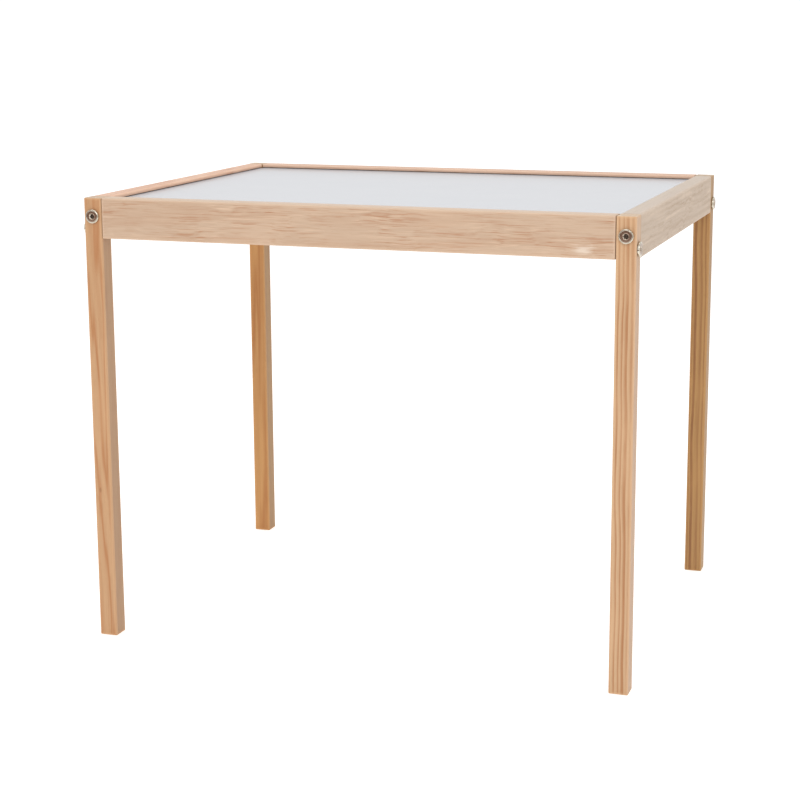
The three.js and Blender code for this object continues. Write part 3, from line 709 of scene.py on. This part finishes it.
def inlet_bores():
    """The inlet's hole through the rear rail: a pocket from inside, and a close hole."""
    centre = middle("inlet_socket")
    inner, outer = (corner.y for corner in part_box("rail_rear"))
    start = Vector((centre.x, inner - CUT_PAST, centre.z))
    bores = []
    for end, radius in (
        (outer - INLET_WEB, INLET_POCKET_RADIUS),
        (outer + CUT_PAST, INLET_BARREL + GAP),
    ):
        bores.append(rod((0, 1, 0), start, Vector((centre.x, end, centre.z)), radius))
    return bores


# For each rail: its turn about Z in degrees, and the legs at its ends.
RAILS = {
    "rail_front": (0, ("front_left", "front_right")),
    "rail_rear": (180, ("rear_left", "rear_right")),
    "rail_right": (90, ("front_right", "rear_right")),
    "rail_left": (-90, ("front_left", "rear_left")),
}


def make_rail(node, look):
    turn, corners = RAILS[node]
    size = extent(node)
    centre = middle(node)
    length, thickness = (size.x, size.y) if turn in (0, 180) else (size.y, size.x)
    panel_low, panel_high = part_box("diffuser_panel")
    panel = (panel_low.z - GAP - centre.z, panel_high.z + GROOVE_CLEARANCE - centre.z)
    board_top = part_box("base_board")[1].z + GAP - centre.z
    section = rail_section(thickness, size.z, panel, board_top)
    ends = (-length / 2, length / 2)
    rail = loft("rail", [[(x, y, z) for y, z in section] for x in ends])
    ease(rail, RAIL_END_ARRIS, 2)
    rail.matrix_world = Matrix.Translation(centre) @ Matrix.Rotation(math.radians(turn), 4, "Z")
    low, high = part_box(node)
    cutters = []
    for corner in corners:
        cutters += joint_bores(corner) + nut_bores(corner, low, high)
    cutters += screw_bores(low, high)
    if node == "rail_rear":
        cutters += inlet_bores()
    carve(rail, cutters)
    half = Vector((length, thickness, size.z)) / 2
    dress(rail, wood(f"pine_{node}", half / MM, **look), node)


# ---- Bolts, barrel nuts, dowels and screws ----

THREAD_STEPS = 4  # rings in one turn of a thread

BOLT_SHANK = 60.0 * MM  # from the tip to under the head
BOLT_TIP = 2.0 * MM  # radius
BOLT_THREAD = 20.0 * MM
BOLT_PITCH = 1.0 * MM
BOLT_THREAD_DEPTH = 0.55 * MM
BOLT_HEAD = 7.5 * MM  # radius
BOLT_HEAD_TOP = 2.8 * MM
BOLT_BEVEL = 1.5 * MM
GROUND_FACE = (3.6 * MM, 5.7 * MM)  # radii of the sunk face round the key socket
GROUND_DEPTH = 0.22 * MM
KEY_LIP = 0.4 * MM  # roundness of the socket's raised rim
KEY_LIP_RADIUS = 3.15 * MM
KEY_FLATS = 4.0 * MM
KEY_MOUTH = 0.95 * MM  # from the head's top to the socket's straight sides
KEY_DEPTH = 2.6 * MM
KEY_POINT = 0.5 * MM

NUT_CHAMFER = 0.4 * MM
NUT_SLOT = (6.0 * MM, 0.6 * MM)  # half length and half width
NUT_SLOT_DEPTH = 1.5 * MM

DOWEL_FLUTES = 12
DOWEL_FLUTE_DEPTH = 0.3 * MM
DOWEL_TAPER = 0.9 * MM  # how much thinner its ends are
DOWEL_LEAD_IN = 1.0 * MM

SCREW_HEAD = 3.0 * MM  # radius
SCREW_HEAD_DEPTH = 1.7 * MM
SCREW_RADIUS = 1.5 * MM
SCREW_PITCH = 1.1 * MM
SCREW_THREAD_DEPTH = 0.45 * MM
SCREW_THREAD_START = 2.6 * MM
SCREW_POINT = 2.8 * MM  # from the end of the thread to the tip
CROSS_ARM = (1.5 * MM, 0.35 * MM)  # half length and half width
CROSS_DEPTH = 1.1 * MM
SINK_RADIUS = 3.3 * MM  # of the countersunk hole in the board
SINK_REACH = 4.0 * MM  # from the board's lower face to past its upper one


def threaded(radius, pitch, depth, start):
    """The radius for each angle at a height on a screw thread, by that height."""

    def at(height):
        def outline(angle):
            turn = ((height - start) / pitch - angle / (2 * math.pi)) % 1
            return radius - depth * abs(2 * turn - 1)

        return outline

    return at


def thread_stations(thread, start, end, pitch):
    """Stations up a thread, a part of a turn apart."""
    step = pitch / THREAD_STEPS
    heights = [start + i * step for i in range(round((end - start) / step))]
    return [(z, thread(z)) for z in heights]


def bolt_shank():
    """A bolt's stations from its tip to the leg's face at Z = 0."""
    tip = -BOLT_SHANK
    top = tip + BOLT_THREAD
    thread = threaded(BOLT_RADIUS, BOLT_PITCH, BOLT_THREAD_DEPTH, tip)
    return [
        (tip, BOLT_TIP),
        (tip + 0.6 * MM, BOLT_TIP + 0.4 * MM),
        *thread_stations(thread, tip + BOLT_PITCH, top, BOLT_PITCH),
        (top, BOLT_RADIUS - 0.5 * MM),
        (top + 0.5 * MM, BOLT_RADIUS),
    ]


def bolt_head():
    """Its stations from under the head, over the bevel and the ground face, to the floor of
    the key socket."""
    bevel_foot = (BOLT_HEAD - BOLT_BEVEL, BOLT_HEAD_TOP - BOLT_BEVEL + 0.15 * MM)
    bevel = arc(bevel_foot, BOLT_BEVEL, 4, 62, 7)
    lip = arc((KEY_LIP_RADIUS, BOLT_HEAD_TOP - KEY_LIP), KEY_LIP, 30, 150, 5)
    ground = BOLT_HEAD_TOP - GROUND_DEPTH
    inner, outer = GROUND_FACE
    return [
        (GAP, BOLT_RADIUS),
        (GAP, BOLT_HEAD - 0.2 * MM),
        (GAP + 0.2 * MM, BOLT_HEAD),
        *[(z, radius) for radius, z in bevel],
        (BOLT_HEAD_TOP - 0.1 * MM, outer + 0.2 * MM),
        (ground, outer),
        (ground, inner),
        *[(z, radius) for radius, z in lip],
        (BOLT_HEAD_TOP - KEY_MOUTH + 0.2 * MM, hexagon(KEY_FLATS + 0.3 * MM)),
        (BOLT_HEAD_TOP - KEY_MOUTH, hexagon(KEY_FLATS)),
        (BOLT_HEAD_TOP - KEY_DEPTH, hexagon(KEY_FLATS)),
        (BOLT_HEAD_TOP - KEY_DEPTH - KEY_POINT, KEY_FLATS / 10),
    ]


def make_bolts(material):
    stations = bolt_shank() + bolt_head()
    for joint, axis, _ in joints():
        bolt = turned("bolt", stations, 48)
        place = bolt_tip(joint, axis) + axis * BOLT_SHANK
        bolt.matrix_world = Matrix.Translation(place) @ facing(axis)
        dress(bolt, material, f"bolt_{joint}")


def make_barrel_nuts(material):
    """Nuts with a cross bore for their bolt and a slot in their outer end."""
    x, y = NUT_SLOT
    for joint, bore, axis in joints():
        node = f"barrel_nut_{joint}"
        centre = middle(node)
        half = length_along(node, axis) / 2
        outline = [(-half, NUT_RADIUS - NUT_CHAMFER), (NUT_CHAMFER - half, NUT_RADIUS)]
        outline += [(half - NUT_CHAMFER, NUT_RADIUS), (half, NUT_RADIUS - NUT_CHAMFER)]
        nut = turned("nut", outline, 36)
        nut.matrix_world = Matrix.Translation(centre) @ facing(axis)
        slot = cuboid("slot", (-x, -y, half - NUT_SLOT_DEPTH), (x, y, half + CUT_PAST))
        slot.matrix_world = nut.matrix_world.copy()
        reach = bore * (NUT_RADIUS + CUT_PAST)
        carve(nut, [rod(bore, centre - reach, centre + reach, BOLT_RADIUS + GAP), slot])
        dress(nut, material, node)


def fluted(radius, depth):
    return lambda angle: radius - depth * (0.5 - 0.5 * math.cos(DOWEL_FLUTES * angle)) ** 2


def make_dowels(material):
    """Compressed beech dowels with straight flutes."""
    full = fluted(DOWEL_RADIUS, DOWEL_FLUTE_DEPTH)
    end = fluted(DOWEL_RADIUS - DOWEL_TAPER, DOWEL_FLUTE_DEPTH / 3)
    for joint, axis, _ in joints():
        node = f"dowel_{joint}"
        half = length_along(node, axis) / 2
        stations = [(-half, end), (DOWEL_LEAD_IN - half, full)]
        stations += [(half - DOWEL_LEAD_IN, full), (half, end)]
        dowel = turned("dowel", stations, DOWEL_FLUTES * 6)
        dowel.matrix_world = Matrix.Translation(middle(node)) @ facing(axis)
        dress(dowel, material, node)


def screw_stations(length):
    """A countersunk screw from its head's face at Z = 0 up to its tip."""
    thread = threaded(SCREW_RADIUS, SCREW_PITCH, SCREW_THREAD_DEPTH, 0)
    end = length - SCREW_POINT
    return [
        (0, SCREW_HEAD - 0.2 * MM),
        (0.15 * MM, SCREW_HEAD),
        (SCREW_HEAD_DEPTH, SCREW_RADIUS - 0.15 * MM),
        (SCREW_THREAD_START - 0.2 * MM, SCREW_RADIUS - 0.35 * MM),
        *thread_stations(thread, SCREW_THREAD_START, end, SCREW_PITCH),
        (length - 1.2 * MM, 0.7 * MM),
        (length, 0.08 * MM),
    ]


def cross_recess():
    """Cutters for the cross in a screw's head."""
    long, short = CROSS_ARM
    arms = [
        cuboid("arm", (-x, -y, -CUT_PAST), (x, y, CROSS_DEPTH))
        for x, y in ((long, short), (short, long))
    ]
    pit = turned("pit", [(-CUT_PAST, 0.9 * MM), (CROSS_DEPTH + 0.4 * MM, 0.3 * MM)], 12)
    return [*arms, pit]


def make_screws(material):
    """Screws with their heads down in the base board, each stopped at its own angle."""
    for node in BASE_SCREWS:
        low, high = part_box(node)
        centre = middle(node)
        screw = turned("screw", screw_stations(high.z - low.z), 24)
        carve(screw, cross_recess())
        turn = Matrix.Rotation(centre.x * 40 + centre.y * 17, 4, "Z")
        screw.matrix_world = Matrix.Translation((centre.x, centre.y, low.z)) @ turn
        dress(screw, material, node)


# ---- Panel and board ----

PANEL_ARRIS = 0.3 * MM
BOARD_ARRIS = 0.25 * MM
SWITCH_HOLE = (9.6 * MM, 6.6 * MM)  # half length and half width


def notched_plate(node):
    """A plate in its CAD node's place, with its corners notched round the legs."""
    low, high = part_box(node)
    notch_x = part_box("leg_front_right")[0].x - GAP
    notch_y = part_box("leg_rear_right")[0].y - GAP
    x, y = high.x, high.y
    outline = [(-notch_x, -y), (notch_x, -y), (notch_x, -notch_y), (x, -notch_y)]
    outline += [(x, notch_y), (notch_x, notch_y), (notch_x, y), (-notch_x, y)]
    outline += [(-notch_x, notch_y), (-x, notch_y), (-x, -notch_y), (-notch_x, -notch_y)]
    return loft(node, [[(px, py, z) for px, py in outline] for z in (low.z, high.z)])


def make_panel(material):
    panel = ease(notched_plate("diffuser_panel"), PANEL_ARRIS, 2)
    dress(panel, material, "diffuser_panel")


def screw_hole(screw, foot):
    """A cutter for a screw's countersunk hole, which opens downwards in the board."""
    x, y, _ = middle(screw)
    outline = [(-CUT_PAST, SINK_RADIUS), (0, SINK_RADIUS)]
    outline += [(SCREW_HEAD_DEPTH, SCREW_HOLE_RADIUS), (SINK_REACH, SCREW_HOLE_RADIUS)]
    cutter = turned("hole", outline, 24)
    cutter.matrix_world = Matrix.Translation((x, y, foot))
    return cutter


def make_board(material):
    board = ease(notched_plate("base_board"), BOARD_ARRIS, 2)
    low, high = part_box("base_board")
    switch = middle("switch_rocker")
    half_x, half_y = SWITCH_HOLE
    start = (switch.x - half_x, switch.y - half_y, low.z - CUT_PAST)
    end = (switch.x + half_x, switch.y + half_y, high.z + CUT_PAST)
    screw_holes = [screw_hole(screw, low.z) for screw in BASE_SCREWS]
    carve(board, [*screw_holes, cuboid("hole", start, end)])
    dress(board, material, "base_board")


# ---- CAD shapes with finer edges ----

WELD_DISTANCE = 0.01 * MM
FLAT_ANGLE = 1  # degrees: faces that meet at less are made one
CAD_ARRIS_ANGLE = 50  # degrees: leaves the facets of a round CAD piece as they are
TUBE_SMOOTH_ANGLE = 60


def cad_copy(node, flatten):
    """A new object with a CAD node's mesh about its own middle."""
    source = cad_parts[node]
    bm = bmesh.new()
    bm.from_mesh(source.data)
    centre = middle(node)
    bm.transform(Matrix.Translation(-centre) @ source.matrix_world)
    bmesh.ops.remove_doubles(bm, verts=bm.verts, dist=WELD_DISTANCE)
    if flatten:
        flat = math.radians(FLAT_ANGLE)
        bmesh.ops.dissolve_limit(bm, angle_limit=flat, verts=bm.verts, edges=bm.edges)
    copy = new_object(node, bm)
    copy.matrix_world = Matrix.Translation(centre)
    return copy


def refined(node, material, arris, segments=2, body="frame"):
    """A CAD node's own shape with its edges eased."""
    piece = cad_copy(node, flatten=True)
    ease(piece, arris, segments, CAD_ARRIS_ANGLE)
    dress(piece, material, node, body)


def smoothed(node, material):
    """A faceted CAD tube's own shape, made round."""
    piece = cad_copy(node, flatten=False)
    piece.modifiers.new("round", "SUBSURF").levels = 1
    apply_modifiers(piece)
    dress(piece, material, node, smooth=TUBE_SMOOTH_ANGLE)


# ---- Switch, inlet, driver, light bars and leads ----

CORNER_STEPS = 5
SWITCH_BEZEL = (10.5 * MM, 7.5 * MM)  # half length and half width, as for the next two
SWITCH_BODY = (9.3 * MM, 6.3 * MM)
SWITCH_POCKET = (8.05 * MM, 4.85 * MM)
BEZEL_CORNER = 1.2 * MM
BODY_CORNER = 0.6 * MM
POCKET_CORNER = 0.5 * MM
BODY_DEPTH = 19.0 * MM
POCKET_DEPTH = 8.8 * MM
CLIP_X = 9.0 * MM  # a clip's middle, in the body's end wall
CLIP_RISE = (6.0 * MM, 10.0 * MM)  # its foot and top above the bezel
BLADE_X = 4.0 * MM
BLADE = (0.4 * MM, 2.4 * MM)  # half thickness and half width of a terminal
PIVOT_RISE = 1.0 * MM  # the rocker's axis above the board's lower face
PIVOT_RADIUS = 1.3 * MM
PIVOT_REACH = 8.0 * MM

INLET_FLANGE = (7.0 * MM, 1.5 * MM)  # radius and thickness
INLET_FLANGE_ROUND = 0.7 * MM
INLET_BORE = (3.2 * MM, 10.0 * MM)  # radius and depth
INLET_PIN = (1.0 * MM, 3.0 * MM)  # radius, and how deep its tip's shoulder lies


def rounded_body(name, half, levels, radius):
    """A body of one rounded outline, through (height, how far it is set in) levels."""
    rings = []
    for z, inset in levels:
        half_x, half_y = (size - inset for size in half)
        points = []
        for sx, sy, start in ((1, 1, 0), (-1, 1, 90), (-1, -1, 180), (1, -1, 270)):
            centre = (sx * (half_x - radius), sy * (half_y - radius))
            points += arc(centre, radius, start, start + 90, CORNER_STEPS)
        rings.append([(x, y, z) for x, y in points])
    return loft(name, rings)


def switch_bezel(foot, top):
    """The flange that shows under the board, with a rounded lower edge."""
    levels = [(foot, 0.9 * MM), (foot + 0.5 * MM, 0.2 * MM), (top - 0.3 * MM, 0), (top, 0.1 * MM)]
    return rounded_body("bezel", SWITCH_BEZEL, levels, BEZEL_CORNER)


def switch_clips(foot):
    """A small catch on each end of the body that holds it in the board."""
    low, high = (foot + rise for rise in CLIP_RISE)
    return [
        cuboid("clip", (x - 0.4 * MM, -2 * MM, low), (x + 0.35 * MM, 2 * MM, high))
        for x in (-CLIP_X, CLIP_X)
    ]


def switch_blades(foot, top):
    """Two flat terminals."""
    blades = []
    half_x, half_y = BLADE
    for x in (-BLADE_X, BLADE_X):
        blade = cuboid("blade", (x - half_x, -half_y, foot), (x + half_x, half_y, top))
        blades.append(ease(blade, 0.25 * MM, 1))
    return blades


def make_switch(black, rocker_black):
    low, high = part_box("switch_housing")
    centre = middle("switch_housing")
    board_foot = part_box("base_board")[0].z
    bezel_top = board_foot - GAP
    body_top = board_foot + BODY_DEPTH
    body_levels = [(bezel_top - MM, 0), (body_top, 0.2 * MM)]
    pocket_levels = [(low.z - CUT_PAST, 0), (low.z + POCKET_DEPTH, 0.05 * MM)]

    housing = switch_bezel(low.z, bezel_top)
    body = rounded_body("body", SWITCH_BODY, body_levels, BODY_CORNER)
    inner = [body, *switch_clips(bezel_top), *switch_blades(body_top - MM, high.z)]
    combine(housing, inner, "UNION")
    carve(housing, [rounded_body("pocket", SWITCH_POCKET, pocket_levels, POCKET_CORNER)])
    housing.matrix_world = Matrix.Translation((centre.x, centre.y, 0))

    reach = Vector((0, PIVOT_REACH, 0))
    pivot = Vector((centre.x, middle("switch_rocker").y, board_foot + PIVOT_RISE))
    carve(housing, [rod((0, 1, 0), pivot - reach, pivot + reach, PIVOT_RADIUS)])
    dress(housing, black, "switch_housing")
    refined("switch_rocker", rocker_black, 0.35 * MM, 3, body="rocker")


def make_inlet(black, zinc):
    """The inlet socket about its own Z, which points out of the rear rail."""
    low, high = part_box("inlet_socket")
    centre = middle("inlet_socket")
    back = low.y - high.y
    flange, thickness = INLET_FLANGE
    bore, bore_depth = INLET_BORE
    pin, shoulder = INLET_PIN
    rim = (flange - INLET_FLANGE_ROUND, -INLET_FLANGE_ROUND)
    outline = [(back, INLET_BARREL - 0.5 * MM), (back + 0.5 * MM, INLET_BARREL)]
    outline += [(-thickness, INLET_BARREL), (-thickness, flange)]
    outline += [(z, r) for r, z in arc(rim, INLET_FLANGE_ROUND, 0, 90, 5)]
    outline += [(0, bore + 0.8 * MM), (-0.5 * MM, bore)]
    outline += [(-bore_depth, bore), (-bore_depth, pin), (-shoulder, pin)]
    outline += [(z - shoulder, r) for r, z in arc((0, 0), pin, 10, 80, 4)]
    inlet = turned("inlet", outline, 48)
    inlet.matrix_world = Matrix.Translation((centre.x, high.y, centre.z)) @ facing((0, 1, 0))
    dress(inlet, black, "inlet_socket")
    refined("inlet_nut", zinc, 0.3 * MM)


def make_hidden(white, circuit, jacket):
    refined("led_driver", white, 0.6 * MM, 3)
    for bar in LIGHT_BARS:
        refined(bar, circuit, 0.25 * MM)
    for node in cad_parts:
        if node.startswith("lead_"):
            smoothed(node, jacket)


# ---- Build the object ----

# side paints each leg's +X face lighter or darker for how the light falls on it: painted light
# and shade
LEG_LOOKS = {
    "front_left": dict(
        pale=srgb(187, 145, 105), dark=srgb(170, 118, 75), seed=1, pith=(-70, -40), pitch=9.0,
        late=0.4, sway=9.0, taper=0.05, fleck=(0.012, 0.35, 0.3), streak=(0.005, 0.09, 0.65),
        stain=srgb(166, 104, 54), side=(1, 0.75, srgb(152, 121, 93)), knot=(-76, -3.5),
    ),
    "front_right": dict(
        pale=srgb(192, 155, 118), dark=srgb(160, 104, 58), seed=2, pith=(-150, 10), pitch=4.4,
        late=0.95, sway=9.0, taper=0.004, fleck=(0.012, 0.6, 0.2),
        side=(1, 0.75, srgb(183, 153, 127)),
    ),
    "rear_left": dict(
        pale=srgb(183, 134, 79), dark=srgb(165, 107, 54), seed=3, pith=(-70, -60), pitch=12.0,
        late=0.3, sway=5.0, taper=0.01, fleck=(0.01, 0.3, 0.25), streak=(0.003, 0.07, 0.7),
        stain=srgb(158, 95, 40), side=(1, 0.75, srgb(146, 116, 83)),
    ),
    "rear_right": dict(
        pale=srgb(162, 120, 70), dark=srgb(122, 74, 30), seed=4, pith=(-130, -10), pitch=5.0,
        late=0.85, sway=7.0, taper=0.004, fleck=(0.012, 0.5, 0.25),
        side=(1, 0.75, srgb(162, 128, 88)),
    ),
}
# side paints the front and right rails' tops lighter, painted light from above; every rail's ends
# turn dark, painted shade of the seams at the legs
RAIL_LOOKS = {
    "rail_front": dict(
        pale=srgb(189, 161, 136), dark=srgb(176, 134, 103), seed=5, pith=(-60, 10), pitch=9.0,
        late=0.3, sway=14.0, taper=0.01, fleck=(0.02, 0.9, 1.0), stain=srgb(168, 117, 82),
        side=(2, 0.6, srgb(214, 192, 170)), chalk=(243, -12), end=SEAM_SHADE,
    ),
    "rail_rear": dict(
        pale=srgb(208, 174, 150), dark=srgb(188, 140, 110), seed=6, pith=(-70, -14), pitch=8.0,
        late=0.3, sway=12.0, taper=0.008, fleck=(0.03, 0.7, 0.7), end=SEAM_SHADE,
    ),
    "rail_right": dict(
        pale=srgb(182, 162, 142), dark=srgb(159, 133, 107), seed=7, pith=(10, -90), pitch=7.0,
        late=0.3, sway=14.0, taper=0.02, ripple=(0.035, 4.5), fleck=(0.006, 0.34, 0.85),
        side=(2, 0.6, srgb(204, 190, 176)), end=SEAM_SHADE,
    ),
    "rail_left": dict(
        pale=srgb(216, 178, 152), dark=srgb(194, 141, 112), seed=8, pith=(10, -80), pitch=7.0,
        late=0.4, sway=12.0, taper=0.02, ripple=(0.03, 4.0), fleck=(0.016, 0.6, 1.0),
        end=SEAM_SHADE,
    ),
}
DOWEL_LOOK = dict(pale=srgb(214, 182, 146), dark=srgb(190, 150, 112), seed=9, pitch=1.6)


def build_table():
    for corner, look in LEG_LOOKS.items():
        make_leg(corner, look)
    for node, look in RAIL_LOOKS.items():
        make_rail(node, look)
    beech = wood("beech_dowel", (3, 3, 12), **DOWEL_LOOK)
    zinc = plated("bright_zinc", srgb(196, 199, 204), srgb(160, 162, 166), 0.3, recess=1.2)
    black = plastic("black_nylon", srgb(30, 30, 32), srgb(48, 48, 50), 0.42)
    rocker_black = plastic("rocker_gloss", srgb(24, 24, 26), srgb(40, 40, 42), 0.22, 0.2)
    white = plastic("white_polycarbonate", srgb(232, 232, 228), srgb(216, 214, 206), 0.4)
    jacket = plastic("grey_pvc", srgb(214, 214, 210), srgb(190, 190, 184), 0.5, 0.3)
    make_bolts(bolt_nickel())
    make_barrel_nuts(zinc)
    make_dowels(beech)
    make_screws(zinc)
    make_panel(opal_sheet())
    make_board(hardboard())
    make_switch(black, rocker_black)
    make_inlet(black, zinc)
    make_hidden(white, light_bar(), jacket)


# ---- Stage, light and camera ----

WHITE = (1.0, 1.0, 1.0, 1.0)
HORIZON = (1.06, 1.06, 1.06, 1.0)
ZENITH = (0.76, 0.768, 0.78, 1.0)
DARK_ROOM = (0.3, 0.22, 0.18, 1.0)
SWEEP_HALF = 1.4
FLOOR_HALF = 60.0
FLOOR_DROP = 0.4 * MM  # the wide floor under the sweep
TABLE_MIDDLE = (0, 0, 0.4)

CAMERA_PLACE = Vector((0.6393, -1.8971, 0.6779))
CAMERA_YAW = 18.388  # degrees to the left of straight ahead (+Y)
CAMERA_PITCH = -11.019  # degrees above level
CAMERA_ROLL = -0.178
LENS = 81.14  # mm on the sensor
SENSOR = 36  # mm
SHIFT = (-0.03125, -0.05625)
VIEW_END = 200


def plane(name, half, height):
    bm = bmesh.new()
    corners = ((-half, -half), (half, -half), (half, half), (-half, half))
    bm.faces.new([bm.verts.new((x, y, height)) for x, y in corners])
    return new_object(name, bm)


def paper(name, tone, glow):
    """Pale matt paper with a faint tooth. glow keeps it white where the lights fall off."""
    shader = Shader(
        name, Roughness=0.9, Specular_IOR_Level=0.1, Emission_Color=WHITE, Emission_Strength=glow
    )
    tooth = shader.noise(shader.millimetres(), (0.01, 0.01, 0.01))
    low, high = ((grey, grey, grey, 1.0) for grey in (tone, tone + 0.02))
    shader.put(shader.surface.inputs["Base Color"], shader.mix(tooth, low, high))
    return shader.material


def make_floor():
    """A paper sweep under the table, and a wider white floor that gloss doesn't reflect."""
    near = plane("paper_sweep", SWEEP_HALF, 0.0)
    near.data.materials.append(paper("sweep_paper", 0.88, 0.4))
    wide = plane("studio_floor", FLOOR_HALF, -FLOOR_DROP)
    wide.data.materials.append(paper("floor_paper", 0.3, 0.92))
    wide.visible_glossy = False


def make_world():
    """Bright at the horizon and softer overhead. Low in front it is a dark warm room, which
    the floor hides from everything but gloss."""
    world = bpy.data.worlds.new("studio")
    bpy.context.scene.world = world
    nodes = Nodes(world)
    direction = nodes.node("ShaderNodeTexCoord", {}).outputs["Generated"]
    _, ahead, up = nodes.split(direction)
    sky = nodes.mix(nodes.ramp(up, 0.1, 0.7), HORIZON, ZENITH)
    room = nodes.times(nodes.ramp(up, -0.03, -0.1), nodes.ramp(ahead, -0.2, -0.6))
    whole = nodes.mix(room, sky, DARK_ROOM)
    nodes.put(nodes.tree.nodes["Background"].inputs["Color"], whole)


def soft_box(name, location, side, watts):
    """A square light that points at the table."""
    light = bpy.data.lights.new(name, "AREA")
    light.shape = "SQUARE"
    light.size = side
    light.energy = watts
    lamp = bpy.data.objects.new(name, light)
    bpy.context.scene.collection.objects.link(lamp)
    lamp.location = location
    aim = Vector(TABLE_MIDDLE) - Vector(location)
    lamp.rotation_euler = aim.to_track_quat("-Z", "Y").to_euler()
    lamp.visible_camera = False


def make_camera():
    data = bpy.data.cameras.new("camera")
    data.lens = LENS
    data.sensor_width = SENSOR
    data.shift_x, data.shift_y = SHIFT
    data.clip_end = VIEW_END
    camera = bpy.data.objects.new("camera", data)
    bpy.context.scene.collection.objects.link(camera)
    level = Matrix.Rotation(math.radians(CAMERA_YAW), 4, "Z")
    tilt = Matrix.Rotation(math.radians(90 + CAMERA_PITCH), 4, "X")
    roll = Matrix.Rotation(math.radians(CAMERA_ROLL), 4, "Z")
    camera.matrix_world = Matrix.Translation(CAMERA_PLACE) @ level @ tilt @ roll
    bpy.context.scene.camera = camera


def make_studio():
    bpy.context.scene.view_settings.view_transform = "Standard"
    make_floor()
    make_world()
    soft_box("key", (1.3, -2.55, 2.3), side=1.4, watts=23)
    soft_box("top", (-0.3, 0.2, 3.0), side=2.4, watts=22)
    make_camera()


build_table()
make_studio()
